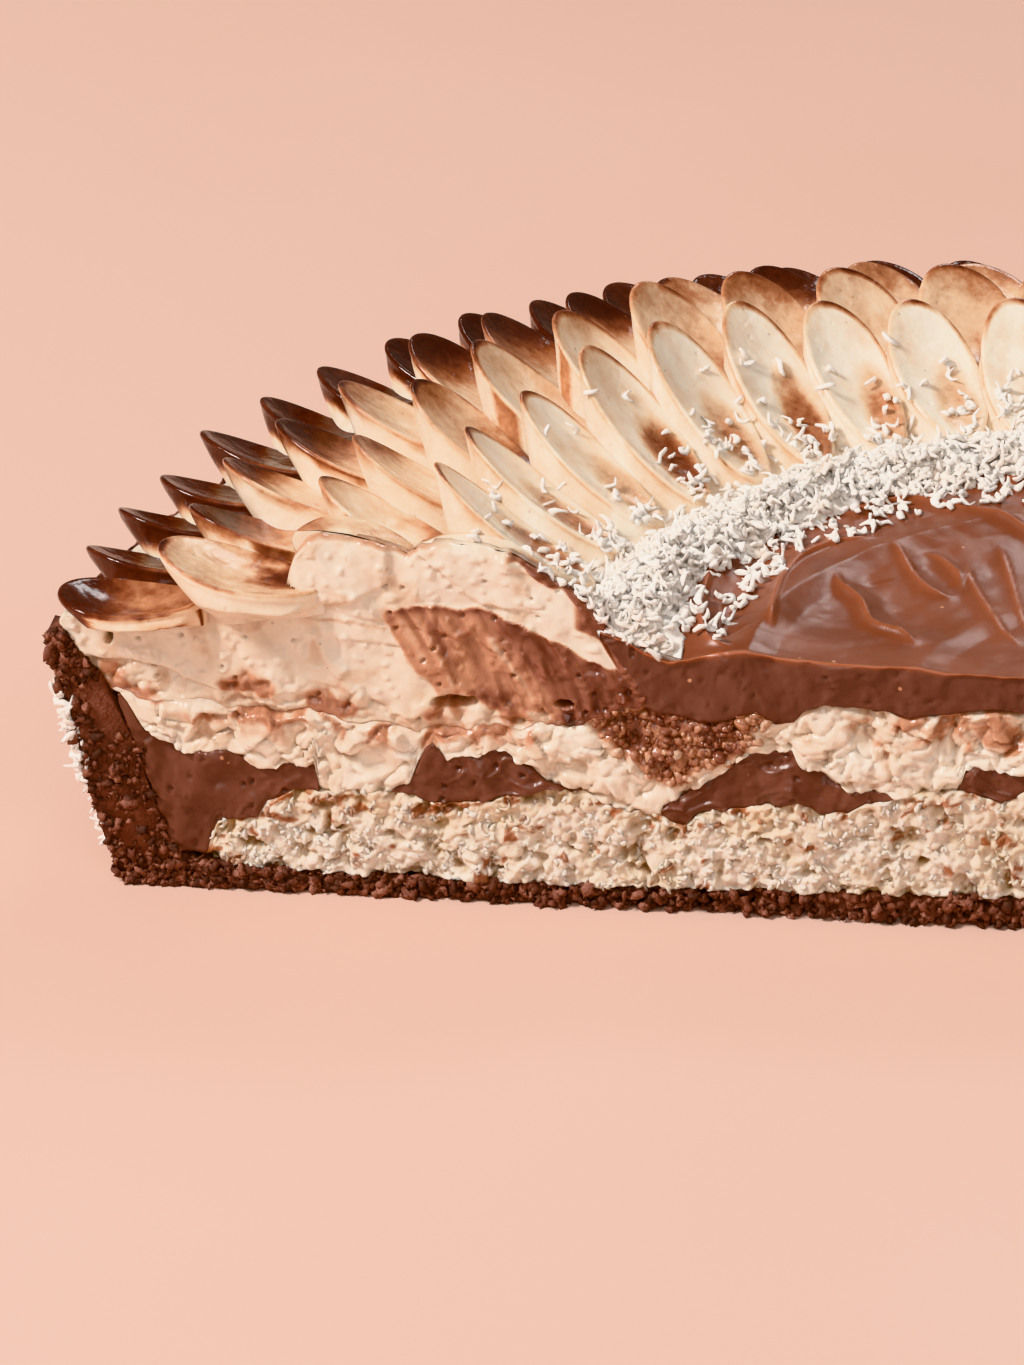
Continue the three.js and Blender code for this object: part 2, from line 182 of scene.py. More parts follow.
# %% Skins to pieces
def piece(name, body, material, replaces=()):
    """One object from a skin in millimetres. It rides on the tart and takes the place of the named solids."""
    points = body["points"] * 0.001 + [axis_x, cut_y, 0]
    quads, tris = body["quads"], body["tris"]
    mesh = bpy.data.meshes.new(name)
    mesh.vertices.add(len(points))
    mesh.vertices.foreach_set("co", points.astype(np.float32).ravel())
    mesh.loops.add(quads.size + tris.size)
    mesh.loops.foreach_set("vertex_index", np.concatenate([quads.ravel(), tris.ravel()]).astype(np.int32))
    mesh.polygons.add(len(quads) + len(tris))
    starts = np.concatenate([np.arange(len(quads)) * 4, quads.size + np.arange(len(tris)) * 3])
    mesh.polygons.foreach_set("loop_start", starts.astype(np.int32))
    mesh.update(calc_edges=True)
    mesh.polygons.foreach_set("use_smooth", np.ones(len(mesh.polygons), bool))
    for field, values in body["fields"].items():
        mesh.attributes.new(field, "FLOAT", "POINT").data.foreach_set("value", values.astype(np.float32))
    mesh.materials.append(material)
    mesh.validate()
    made = bpy.data.objects.new(name, mesh)
    bpy.context.collection.objects.link(made)
    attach(made, "root")
    if replaces:
        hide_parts(*replaces)
    print(name, len(quads) * 2 + len(tris), "triangles")
    return made


# %% [markdown]
# ## Colours and paints
# Colours are written as the eye sees them, in sRGB, and turned to linear light once. A paint is a material
# with a few words for its shader nodes. Each word adds one node and gives back the socket of its result.

# %% Colours and paints
def linear(hex_colour):
    """sRGB to linear: c / 12.92 up to 0.04045, above it ((c + 0.055) / 1.055) to the power 2.4."""
    parts = [int(hex_colour[n:n + 2], 16) / 255 for n in (1, 3, 5)]
    return [c / 12.92 if c <= 0.04045 else ((c + 0.055) / 1.055) ** 2.4 for c in parts] + [1]


class Paint:
    """A material under that name. Sizes of patterns are in millimetres, depths of bumps in metres."""

    def __init__(self, name):
        self.material = bpy.data.materials.new(name)
        self.material.use_nodes = True
        self.tree = self.material.node_tree
        self.tree.nodes.clear()
        self.out = self.add("OutputMaterial")
        self.place = self.add("TexCoord").outputs["Object"]

    def add(self, kind, inputs=None, **settings):
        """A node with its properties from the keywords. Inputs that are sockets become links."""
        node = self.tree.nodes.new("ShaderNode" + kind)
        for name, value in settings.items():
            setattr(node, name, value)
        for name, value in (inputs or {}).items():
            if isinstance(value, bpy.types.NodeSocket):
                self.tree.links.new(value, node.inputs[name])
            else:
                node.inputs[name].default_value = value
        return node

    def field(self, name):
        """The numbers that the skin keeps at its points under that name."""
        return self.add("Attribute", attribute_name=name).outputs["Fac"]

    def noise(self, size, **inputs):
        """Soft noise from 0 to 1 with features of that size."""
        return self.add("TexNoise", {"Vector": self.place, "Scale": 1000 / size, **inputs}).outputs["Fac"]

    def cells(self, size):
        """The distance to the nearest of scattered points, in sizes."""
        return self.add("TexVoronoi", {"Vector": self.place, "Scale": 1000 / size}).outputs["Distance"]

    def maths(self, operation, *values):
        """The result of an operation on the values."""
        return self.add("Math", dict(enumerate(values)), operation=operation).outputs[0]

    def ranged(self, value, low, high, first=0.0, last=1.0):
        """first where the value is low, last where it is high, evenly in between."""
        ends = {"From Min": low, "From Max": high, "To Min": first, "To Max": last}
        return self.add("MapRange", {"Value": value, **ends}).outputs[0]

    def band(self, value, stops):
        """A colour band: stops are (place, hex colour)."""
        node = self.add("ValToRGB", {"Fac": value})
        while len(node.color_ramp.elements) < len(stops):
            node.color_ramp.elements.new(0.5)
        for element, (place, colour) in zip(node.color_ramp.elements, stops):
            element.position = place
            element.color = linear(colour)
        return node.outputs["Color"]

    def over(self, colour, share, hex_colour):
        """The colour with that share of another over it."""
        return self.add("Mix", {0: share, 6: colour, 7: linear(hex_colour)}, data_type="RGBA").outputs[2]

    def bump(self, height, strength, depth, under=None):
        """The surface tilted as if it rose by depth where the height is 1, on top of the bump under it."""
        inputs = {"Height": height, "Strength": strength, "Distance": depth}
        return self.add("Bump", inputs if under is None else {**inputs, "Normal": under}).outputs[0]

    def surface(self, inputs):
        """Finishes the material with these inputs of its surface."""
        surface = self.add("BsdfPrincipled", {"IOR": 1.45, **inputs})
        self.tree.links.new(surface.outputs[0], self.out.inputs["Surface"])
        return self.material


# %% [markdown]
# ### Crumb crust
# The crust is cocoa biscuit crumb pressed into a tin and baked. Crumb scatters light: it is rough all over
# and
# reddish brown where a grain stands out. Its colour is painted darker, nearly black, where the crumb is deep:
# that is painted shade in its pits. Where the tin pressed it hard it is smoother and has a slight shine.

# %% Material of the crust
paint = Paint("cocoa_crumb_baked")
packed = paint.field("packed")
# Painted shade: the colour darkens where the crumb's relief is deep.
raised = paint.maths("SUBTRACT", paint.noise(1.1, Detail=4.0, Roughness=0.7), paint.field("hollow"))
colour = paint.band(paint.ranged(raised, -0.65, 0.75), [
    (0.0, "#1A0C09"), (0.35, "#4A2A20"), (0.62, "#75473A"), (1.0, "#A67565"),
])
crust_baked = paint.surface({
    "Base Color": paint.over(colour, packed, "#64392D"), "Roughness": paint.ranged(packed, 0, 1, 0.72, 0.4),
    "Normal": paint.bump(paint.noise(0.35, Detail=3.0), 0.7, 0.0003),
})

# %% [markdown]
# ### Coconut cake
# The cake is eggy crumb full of grated coconut. It is pale, and light goes a little way into it, so its pits
# look yellow and not grey. Its colour is also painted darker where the crumb is deep, as painted shade in the
# pits. Under the chocolate it is soaked brown, and toasted flecks sit mostly near its top.

# %% Material of the cake
paint = Paint("coconut_cake_crumb")
# Painted shade: the colour darkens where the crumb's relief is deep.
raised = paint.maths("SUBTRACT", paint.noise(1.6, Detail=3.0), paint.field("hollow"))
colour = paint.band(paint.ranged(raised, -0.5, 0.5), [
    (0.0, "#80603F"), (0.3, "#B09070"), (0.6, "#CEBAA2"), (1.0, "#E6DBCE"),
])
colour = paint.over(colour, paint.ranged(paint.noise(7.0, Detail=1.0), 0.5, 0.72, 0, 0.35), "#CDB083")
colour = paint.over(colour, paint.maths("MULTIPLY", paint.field("soaked"), 0.42), "#CDA271")
cake_crumb = paint.surface({
    "Base Color": paint.over(colour, paint.field("toast"), "#9A5A36"), "Roughness": 0.62,
    "Normal": paint.bump(paint.noise(0.4, Detail=3.0), 0.5, 0.0003),
    "Subsurface Weight": 0.4, "Subsurface Radius": (1.0, 0.75, 0.5), "Subsurface Scale": 0.0015,
})

# %% [markdown]
# ### Ganache
# Ganache is chocolate and cream stirred smooth. It sets with a soft gloss that is broken by fine waves from
# the spoon, and it holds small specks. Where it is a thin crest or the edge at the cut, light shining through
# it is painted as a lighter orange brown.

# %% Material of the ganache
paint = Paint("milk_ganache_set")
cloud = paint.noise(9.0, Detail=3.0, Distortion=0.6)
colour = paint.band(cloud, [(0.3, "#74422F"), (0.7, "#88523E")])
colour = paint.over(colour, paint.field("cut"), "#6C453A")
# Painted glow: thin crests and the edge at the cut are painted lighter, as if lit through.
colour = paint.over(colour, paint.field("thin"), "#B0694A")
speck_size = paint.noise(2.4)
speck = paint.maths("LESS_THAN", paint.cells(1.9), paint.maths("MULTIPLY", speck_size, 0.2))
speck = paint.maths("MULTIPLY", speck, paint.maths("GREATER_THAN", speck_size, 0.62))
ganache_set = paint.surface({
    "Base Color": paint.over(colour, speck, "#B98669"), "Roughness": paint.ranged(cloud, 0, 1, 0.27, 0.42),
    "Normal": paint.bump(paint.noise(3.0, Detail=4.0, Roughness=0.45), 0.22, 0.0005), "IOR": 1.46,
    "Subsurface Weight": 0.08, "Subsurface Radius": (1.0, 0.5, 0.3), "Subsurface Scale": 0.0008,
})

# %% [markdown]
# ### Cream
# All the creams share one way of colouring: a field called cocoa runs from 0 for plain cream to 1 for dark
# chocolate, and a colour band turns it into ivory, tan, caramel and brown. The petals have a band of their
# own. At the cut the cream is smeared and moist, and wet cream shines.

# %% Materials of the creams
PETAL_BAND = [
    (0.0, "#FCF3E6"), (0.08, "#F6E4CF"), (0.18, "#E8C9AA"), (0.4, "#BD8665"), (0.62, "#87503A"),
    (0.8, "#5B2E21"), (1.0, "#42190F"),
]
CUT_BAND = [
    (0.0, "#F8F0E6"), (0.08, "#F2E7D8"), (0.18, "#E5D0BA"), (0.4, "#BE8B6F"), (0.62, "#92604F"),
    (0.8, "#6A3D31"), (1.0, "#42190F"),
]


def cream(name, band, size, streaks, scatter, shine, waves, wet_film):
    """Cream coloured by band(cocoa + room · (noise − 0.5)). The room for noise rises from 0.12 · streaks in
    plain cream to streaks at cocoa 0.35. Bumps: fine ones, waves of 2.6 mm, and pits."""
    paint = Paint(name)
    cocoa = paint.field("cocoa")
    centred = paint.maths("SUBTRACT", paint.noise(size, Detail=5.0, Roughness=0.62), 0.5)
    room = paint.ranged(cocoa, 0, 0.35, 0.12 * streaks, streaks)
    colour = paint.band(paint.maths("MULTIPLY_ADD", centred, room, cocoa), band)
    speck = paint.maths("LESS_THAN", paint.cells(2.6), 0.075)
    relief = paint.bump(paint.noise(size * 0.8, Detail=3.0), waves, 0.00025)
    relief = paint.bump(paint.noise(2.6, Detail=1.0, Distortion=0.5), waves, 0.0006, relief)
    relief = paint.bump(paint.ranged(paint.cells(3.4), 0.06, 0.12), 0.35, 0.0002, relief)
    return paint.surface({
        "Base Color": paint.over(colour, paint.maths("MULTIPLY", speck, 0.35), "#9A6238"),
        "Roughness": paint.ranged(cocoa, 0, 0.9, *shine), "Normal": relief, "Specular IOR Level": 0.4,
        "Subsurface Weight": scatter, "Subsurface Radius": (1.0, 0.82, 0.6), "Subsurface Scale": 0.0013,
        "Coat Weight": wet_film, "Coat Roughness": 0.08,
    })


petal_cream = cream("spooned_cream_petals", PETAL_BAND, 1.3, 0.5, 0.3, (0.23, 0.17), 0.3, 0.1)
cut_cream = cream("cream_cut_and_smeared", CUT_BAND, 2.2, 0.3, 0.15, (0.2, 0.22), 0.35, 0.4)
curd_cream = cream("cream_curdled", CUT_BAND, 1.2, 0.45, 0.12, (0.2, 0.22), 0.35, 0.5)

# %% [markdown]
# ### Coconut
# Grated coconut is white, dry and slightly see-through at its edges, so light goes into it as into the cake,
# and it has only a trace of warm colour.

# %% Material of the coconut
paint = Paint("desiccated_coconut")
coconut_dry = paint.surface({
    "Base Color": paint.band(paint.noise(3.0, Detail=2.0), [
        (0.3, "#FFFCF8"), (0.62, "#FFF7EF"), (0.85, "#F6DECB"),
    ]),
    "Roughness": 0.55, "Normal": paint.bump(paint.noise(0.4, Detail=2.0), 0.3, 0.0002),
    "Subsurface Weight": 0.3, "Subsurface Radius": (1.0, 0.85, 0.75), "Subsurface Scale": 0.0012,
})

# %% [markdown]
# ## The lines of the cut
# Each boundary between two layers is one line of radius and height, measured from the axis out to the rim.
# Both layers use the same line, so they always meet. A little noise makes it uneven, and towards the right
# end the whole filling wanders, as it does in the solids.

# %% Boundary lines
CAKE_TOP = [
    (0, 15.4), (4, 16.5), (7.4, 17.2), (10.4, 15.9), (13.3, 16.5), (19, 16.5), (22, 15.7), (24.8, 14.9),
    (27.4, 13.4), (30.6, 13.1), (33, 14.2), (36.4, 13.7), (41.1, 13.2), (44.3, 12.2), (46.1, 11.0),
    (48.7, 12.3), (52, 12.4), (55.5, 13.2), (57.9, 14.5), (62, 14.4), (65.2, 13.6), (68.5, 12.4),
    (72.6, 12.4), (75.6, 12.0), (77.7, 12.6), (80.6, 13.1), (84.4, 13.4), (86, 12.6), (90.9, 12.7),
    (92.7, 12.2), (94.4, 10.7), (95.6, 8.6), (98.6, 8.7), (100.4, 8.2), (101.1, 6.2), (101.7, 3.9),
    (104.4, 4.0),
]
POOL_TOP = [
    (0, 18.6), (7.4, 20.0), (10.4, 19.6), (12.4, 19.8), (14.0, 19.4), (15.0, 16.6), (15.1, 0), (21.8, 0),
    (21.9, 15.7), (25.7, 16.2), (28.9, 16.2), (30.1, 17.5), (32.4, 18.7), (33.8, 20.8), (35.9, 21.2),
    (39.3, 19.5), (43.7, 16.7), (48.7, 12.4), (48.8, 0), (57.8, 0), (57.9, 14.6), (62.0, 15.1),
    (63.7, 16.9), (65.2, 18.1), (66.6, 19.2), (68.4, 18.8), (69.6, 17.9), (73.4, 17.7), (74.9, 19.2),
    (76.1, 18.5), (76.9, 16.5), (77.8, 14.2), (79.9, 12.8), (80.0, 0), (88.2, 0), (88.3, 14.2),
    (88.7, 15.6), (90.2, 15.9), (93.2, 15.4), (95.5, 16.0), (98.5, 16.8), (104.4, 17.1), (105.9, 18.2),
    (108.4, 18.9), (109.6, 21.6), (110.6, 23.2), (112, 23.8),
]
LUMPS_TOP = [
    (0, 27), (7.5, 27.3), (12, 27.4), (16.2, 26.7), (20.3, 25.8), (23.4, 26.8), (26.3, 26.6), (30.1, 27.0),
    (32.4, 26.0), (33.5, 24.5), (35.6, 24.2), (37.6, 25.4), (41.4, 24.4), (45.2, 24.0), (48.1, 25.1),
    (50.5, 25.4), (54, 24.3), (57.8, 22.4), (60.7, 22.3), (63.6, 22.4), (69, 22.5), (72, 22.0), (75, 21.0),
    (77.2, 20.5), (81.3, 21.6), (86.9, 22.4), (89.2, 23.3), (92, 22.2), (96.5, 22.4), (101.7, 23.1),
    (107.5, 23.5), (112, 24.1),
]
GANACHE_TOP = [
    (0, 31), (7.6, 31.4), (16.3, 31.5), (19.2, 32), (27.8, 32), (35.6, 32.4), (38.7, 33.1), (42.2, 32.6),
    (45.4, 31.6), (47.6, 31.2), (50.4, 32.2), (53, 33.6), (55.5, 34.5),
]
CREAM_TOP = [
    (50.2, 25.4), (55.6, 34.6), (56.3, 35.2), (60, 36.4), (64, 37), (70, 37.4), (75.5, 37.5), (80, 37.4),
    (85, 36.9), (89.5, 36.3), (94, 35.7), (98.5, 35.1), (102.5, 34.5), (106.5, 34.1), (110, 33.7),
    (114, 33.3), (117.8, 32.7),
]
WALL_INSIDE = [
    (101, 3.1), (104.4, 4.0), (106, 6.4), (107, 9.4), (108.2, 14), (109.9, 19), (112, 24.1), (114.3, 26.8),
    (117.8, 32.4),
]
SLOPE = [(50.2, 25.4), (55.6, 34.6)]  # where the middle ganache leans on the smooth cream
FLOOR = [(0, 4), (60, 2.6), (92, 2.6), (101, 3.1), (104.4, 4.0)]


# %% Reading the lines
def on_line(line, x):
    """The second number of a line's points where the first is x, straight between the points."""
    return np.interp(x, *np.array(line, float).T)


def by_number(line, place):
    """A point of the line by its number: 0 is the first point, 0.5 half way from there to the second."""
    line = np.array(line, float)
    return stacked(*(np.interp(place, range(len(line)), line[:, n]) for n in (0, 1)))


def on_axis(x):
    """The points (x, 0), for noise that changes with x alone."""
    return stacked(x, np.zeros_like(x))


def polar(radius, angle, z):
    """Points at a radius and an angle round the axis, at height z."""
    return stacked(radius * np.cos(angle), radius * np.sin(angle), z)


def height(line, x, wobble=0.0, grain=3.0, seed=0):
    """Height of a line at x: its height at the radius |x|, plus wobble · noise along the cut."""
    return on_line(line, np.abs(x)) + wobble * rough(on_axis(x), grain, 3, seed)


def cake_line(x):
    """The top of the cake with its crumbs standing out of it."""
    return height(CAKE_TOP, x, 0.35, 2.2, 11)


def pool_line(x):
    """The top of the poured ganache, or of the cake where no ganache lies on it."""
    return np.maximum(cake_line(x), height(POOL_TOP, x, 0.55, 2.4, 12))


def lumps_line(x):
    """The top of the lumpy cream."""
    return height(LUMPS_TOP, x, 0.6, 2.4, 13)


def wander(points):
    """Moves radius r by 3.2 f sin(r / 10) and height z by 1.2 f sin(r / 9 + 2 angle + 1). The freedom f is
    1 − angle / π, times sin(π r / 105), times sin(π (z − 5) / 25), and nothing outside those ranges."""
    x, y, z = np.moveaxis(points, -1, 0)
    radius, angle = np.hypot(x, y), np.arctan2(np.maximum(y, 0), x)
    free = (1 - angle / np.pi) * np.sin(np.pi * np.clip(radius / 105, 0, 1))
    free = free * np.sin(np.pi * np.clip((z - 5) / 25, 0, 1))
    out = radius + 3.2 * free * np.sin(radius / 10)
    stretch = np.where(radius > 0, out / np.maximum(radius, 1e-9), 1)
    up = z + 1.2 * free * np.sin(radius / 9 + 2 * angle + 1)
    return stacked(x * stretch, y * stretch, up)


# %% [markdown]
# ## Slabs and bodies
# A layer is seen almost only at the cut, so it is made of two skins. The slab is a fine grid along the cut,
# pressed into crumb, curds or smears, with a plain back five millimetres behind. The body is the rest of the
# half disc, with few faces, and starts inside the slab.

# %% Slabs along the cut
SLAB_DEPTH = 5.0
BODY_START = 4.0
BACK_FALL = 0.25  # how far the slab's back lies below its top and above its bottom
KNEE_SHARE = 0.7  # the share of a slab's rows that stay below its knee


def slab(x, low, high, rows, relief, top_depth=SLAB_DEPTH, fall=BACK_FALL, knee=None):
    """At each x a ring: the front from low to high in rows, then two points at the back, of which the upper
    one lies top_depth behind the cut and fall below the front. The front lies relief(x, z, share of the way
    up) behind the cut. A knee is a height at each x that KNEE_SHARE of the rows stay below."""
    share = np.linspace(0, 1, rows)[:, None]
    z = mix(low, high, share)
    if knee is not None:
        lower, upper = share / KNEE_SHARE, (share - KNEE_SHARE) / (1 - KNEE_SHARE)
        z = np.where(share < KNEE_SHARE, mix(low, knee, lower), mix(knee, high, upper))
    depth, fields = relief(np.broadcast_to(x, z.shape), z, share)
    half = (high - low) / 2
    rings = np.concatenate([
        stacked(x, depth, z),
        stacked(x, top_depth, high - np.minimum(fall, half))[None],
        stacked(x, SLAB_DEPTH, low + np.minimum(BACK_FALL, half))[None],
    ]).transpose(1, 0, 2)
    kept = {}
    for name, values in fields.items():
        values = np.broadcast_to(values, z.shape)
        kept[name] = np.concatenate([values, values[-1:], values[:1]]).T
    return skin(wander(rings), kept)


def layer(radii, low, high, slices=13, fields=()):
    """Goes round the half circle in slices. Each ring is the lower line out and the upper line back in."""
    radius, z = np.concatenate([stacked(radii, low), stacked(radii, high)[::-1]]).T
    angle = np.linspace(0, np.pi, slices)[:, None]
    rings = wander(stacked(radius * np.cos(angle), np.maximum(radius * np.sin(angle), BODY_START), z))
    return skin(rings, {name: np.full(rings.shape[:2], value) for name, value in fields}, ladder=True)


def steps(low, high, size):
    """Even steps of about that size from low to high."""
    return np.linspace(low, high, int(abs(high - low) / size) + 1)


def pushed(flat, far, size, seed):
    """Points moved by up to far either way, by noise of that size, so that cells lose their even edges."""
    return flat + far * stacked(bumps(flat, size, seed), bumps(flat, size, seed + 1))


# %% [markdown]
# ### Cake
# Crumb is grains of two sizes that stand out by up to a millimetre, with torn holes between them.

# %% The cake
def dome(near):
    """How far a ball falls back at a distance from its middle: 1 − √(1 − (near / 0.8)²)."""
    return 1 - np.sqrt(1 - np.clip(near / 0.8, 0, 0.97) ** 2)


def crumb(x, z, share):
    """Depth: grains of 1.2 and 0.6 mm, each with a depth of its own, soft waves, and holes of about 2 mm
    where the noise is high. Toast: where a second noise is high, easier near the top and in the outer corner.
    Soaked: near the top. The painted pit shade: darker where the crumb is deep."""
    flat = pushed(stacked(x, z), 0.5, 1.3, 31)
    near, _, chance = grains(flat, 1.2, 3)
    small, _, few = grains(flat, 0.6, 4)
    torn = smooth(rough(flat, 1.9, 3, 5), 0.1, 0.9)
    depth = 0.42 * smooth(near, 0.0, 0.95) + 0.2 * chance + 0.25 * dome(small) + 0.1 * few + 1.1 * torn
    depth = depth + 0.5 * rough(flat, 2.6, 3, 9)
    top = smooth(height(CAKE_TOP, x) - z, 2.8, 0.2)
    corner = smooth(z, 7.5, 4.0) * smooth(np.abs(x), 96, 99)
    toast = smooth(rough(flat * [1, 1.5], 2.0, 3, 8) + 0.5 * top + 0.6 * corner, 0.74, 1.0)
    soaked = smooth(height(CAKE_TOP, x) - z, 5.0, 0.5) * (0.6 + 0.4 * bumps(flat, 5.0, 6))
    # Painted shade in the pits, from the depth of the relief.
    return depth, {"hollow": smooth(depth, 0.2, 2.8), "toast": 0.9 * toast, "soaked": soaked}


CAKE_END = 101.6
x = steps(-CAKE_END, CAKE_END, 0.21)
low = height(FLOOR, x, 0.2, 2.0, 10)
cake_front = slab(x, low, np.maximum(cake_line(x), low + 0.05), 58, crumb)
radii = np.array([r for r, _ in CAKE_TOP[::2]] + [CAKE_END])
cake_body = layer(radii, height(FLOOR, radii), np.maximum(height(CAKE_TOP, radii), height(FLOOR, radii)))
piece("cake", together([cake_front, cake_body]), cake_crumb, ["coconut_cake"])

# %% [markdown]
# ### Poured ganache
# The ganache was poured on the cake and ran into four pools. Cut with a warm knife, it is smooth with shallow
# drags and a few thin ridges.

# %% The pools
def dragged(x, z, share):
    """Depth: shallow waves 4 mm wide, thin ridges where a second noise crosses nought, and small pits."""
    flat = stacked(x, z)
    lean = flat @ np.array([[0.9, -0.4], [0.4, 0.9]])
    wave = 0.7 * rough(lean, 4.0, 4, 21)
    ridge = np.exp(-(rough(lean, 7.0, 2, 22) / 0.05) ** 2) + np.exp(-(rough(lean, 5.0, 2, 24) / 0.04) ** 2)
    near, _, chance = grains(flat, 2.3, 23)
    pit = smooth(0.17 - near, 0, 0.06) * (chance > 0.7)
    edge = smooth(share, 0, 0.15) * smooth(1 - share, 0, 0.15)
    depth = 0.65 + wave - 0.3 * ridge + 0.45 * pit + 0.15 * (1 - edge)
    return depth, {"cut": np.full(np.shape(z), 0.9)}


POOLS = {
    "ganache_pool_middle": (0, 15.1), "ganache_pool_inner": (21.9, 48.7), "ganache_pool_outer": (57.9, 79.9),
    "ganache_pool_wall": (88.3, 111.4),
}
for name, (near, far) in POOLS.items():
    by_wall = near > 80
    sides = [steps(-far, -near, 0.25), steps(near, far, 0.25)] if near else [steps(-far, far, 0.25)]
    parts = []
    for x in sides:
        low = np.maximum(cake_line(x), height(WALL_INSIDE, x)) if by_wall else cake_line(x)
        parts.append(slab(x, low, np.maximum(pool_line(x), low + 0.02), 30, dragged))
    radii = steps(near, far, 3)
    low = height(CAKE_TOP, radii)
    if by_wall:
        low = np.maximum(low, height(WALL_INSIDE, radii))
    parts.append(layer(radii, low, np.maximum(height(POOL_TOP, radii), low), fields=[("cut", 0.5)]))
    piece(name.replace("ganache_pool", "poured_ganache"), together(parts), ganache_set, [name])

# %% [markdown]
# ### Lumpy cream
# Cream folded round wet cake curdles: it is full of soft curds two millimetres across. Between the two
# ganaches they are small, round and stained.

# %% The lumpy cream
GRANULAR_FLOOR = [
    (30, 26), (33.9, 25), (39.6, 21), (44.2, 18.2), (48.2, 15.5), (51, 17.9), (55.6, 20.7), (57.8, 23.7),
    (61, 26),
]


def meeting(x):
    """The depth that both creams share at their seam, so that no crack opens there."""
    return 0.9 + 0.5 * rough(on_axis(x), 5.0, 3, 83)


def curds(x, z, share):
    """Depth: lumps of 1.9 and 1 mm that run together, round as balls only where they are stained, waves, and
    a dip along parts of the edges. At the seam it is the depth that both creams share. Cocoa: high between
    the two ganaches, spotted near the seam above the outer pool, and the colour is also darker in the cracks
    between lumps."""
    flat = pushed(stacked(x, z), 1.1, 2.3, 41)
    near, _, chance = grains(flat, 1.9, 43)
    small, _, few = grains(flat, 1.0, 44)
    radius = np.abs(x)
    stained = smooth(z - height(GRANULAR_FLOOR, x) + 1.2 * bumps(flat, 2.0, 50), -0.8, 1.6)
    stained = stained * smooth(61 - radius, 0, 3) * smooth(radius, 30, 34)
    some = smooth(bumps(flat, 3.2, 54), -0.4, 0.2)
    depth = mix(1.3 * dome(near) * smooth(chance, 0.1, 0.4), 0.5 * dome(near), stained)
    depth = depth + mix(0.75 * some, 0.9, stained) * dome(small)
    depth = depth + mix(0.2, 0.5, stained) * chance + 1.0 * smooth(rough(flat, 4.2, 2, 45), 0.1, 0.9)
    depth = depth + 0.4 * rough(flat, 2.4, 2, 53) * (1 - stained)
    depth = depth + 0.35 * smooth(bumps(flat, 3.5, 48), 0.1, 0.7) * (1 - smooth(share * (1 - share), 0, 0.06))
    over = z - lumps_line(x)
    depth = mix(meeting(x), depth, smooth(-over, 0, 0.8)) + 2 * smooth(over, 0, 0.3)
    # The colour is darker in the cracks between lumps.
    crack = smooth(near, 0.55, 0.95)
    spots = smooth(rough(flat, 2.6, 3, 46), -0.1, 0.6)
    seam = smooth(z - height(LUMPS_TOP, x), -4.6, -0.2) * smooth(radius, 58, 64) * smooth(112 - radius, 0, 6)
    cocoa = 0.11 + 0.06 * bumps(flat, 3.0, 49) + 0.12 * crack + 0.5 * stained * (0.7 + 0.5 * few)
    inner = smooth(36 - radius, 0, 5) * smooth(rough(flat, 3.0, 3, 47) + 0.16 * (z - 23), 0.0, 0.7)
    cocoa = cocoa + 0.36 * spots * seam + 0.3 * inner
    return depth, {"cocoa": np.clip(cocoa, 0, 1)}


x = steps(-112, 112, 0.25)
low = np.maximum(pool_line(x), np.where(np.abs(x) > 104, height(WALL_INSIDE, x), 0))
high = lumps_line(x) + 0.3 * smooth(np.abs(x), 50, 56) * smooth(112 - np.abs(x), 0, 3)
lumpy_front = slab(x, low, np.maximum(high, low + 0.02), 44, curds)
radii = steps(0, 112, 3.2)
low = np.maximum(height(CAKE_TOP, radii), height(POOL_TOP, radii))
low = np.maximum(low, np.where(radii > 104, height(WALL_INSIDE, radii), 0))
lumpy_body = layer(radii, low, np.maximum(height(LUMPS_TOP, radii), low), fields=[("cocoa", 0.2)])
piece("lumpy_cream", together([lumpy_front, lumpy_body]), curd_cream, ["cream_lower"])

# %% [markdown]
# ### Smooth cream
# The knife dragged the smooth cream down and to the right, and it tore small pits. Chocolate was stirred into
# it beside the middle: first mocha with lighter streaks, then nearly pure ganache. The knife also went
# through two petals at the left, so the slab takes in their cut faces and follows their top edge.

# %% Lines in the smooth cream
MOCHA_TOP = [
    (50, 30.5), (54.9, 30.2), (56.6, 31.2), (59.4, 32.6), (62.3, 33.9), (65.5, 35.2), (68.5, 36.3),
    (71.4, 36.6), (75.9, 36.5), (79.2, 35.9), (80.1, 35.0),
]
MOCHA_BOTTOM = [
    (50, 20), (59.0, 23.6), (62.4, 23.2), (67.0, 23.7), (70.4, 24.9), (75.0, 26.3), (78.0, 28.9),
    (78.6, 31.3), (79.5, 32.5), (80.1, 34.6),
]
FAINT_SEAM = [
    (50, 60), (79, 60), (80, 33.4), (84, 34.4), (88, 34.2), (90, 34.7), (96, 35), (97, 60), (120, 60),
]
CUT_CROWN = [  # top edge of the two petals that the knife went through: radius and height
    (54.2, 33), (55.4, 36.4), (57.8, 38.5), (61.6, 40.6), (65.7, 43.1), (70.1, 43.8), (73.5, 44.0),
    (76.0, 43.7), (77.0, 42.7), (77.6, 42.3), (78.6, 42.9), (81.5, 43.8), (84.4, 44.4), (87.6, 44.5),
    (89.2, 43.8), (90.3, 42.4), (91.2, 40.0), (92.0, 36.8), (92.8, 33),
]
UNDER_PETAL = [(79.6, 39.4), (80.6, 38.2), (83, 37.0), (87, 35.9), (92.5, 35.0)]  # lower edge of the left one
TORN = [(-72.3, 24.8, 2.3, 0.75), (-59.7, 25.3, 1.0, 0.45), (-112.3, 30.6, 0.35, 0.7)]  # x, z, half sizes


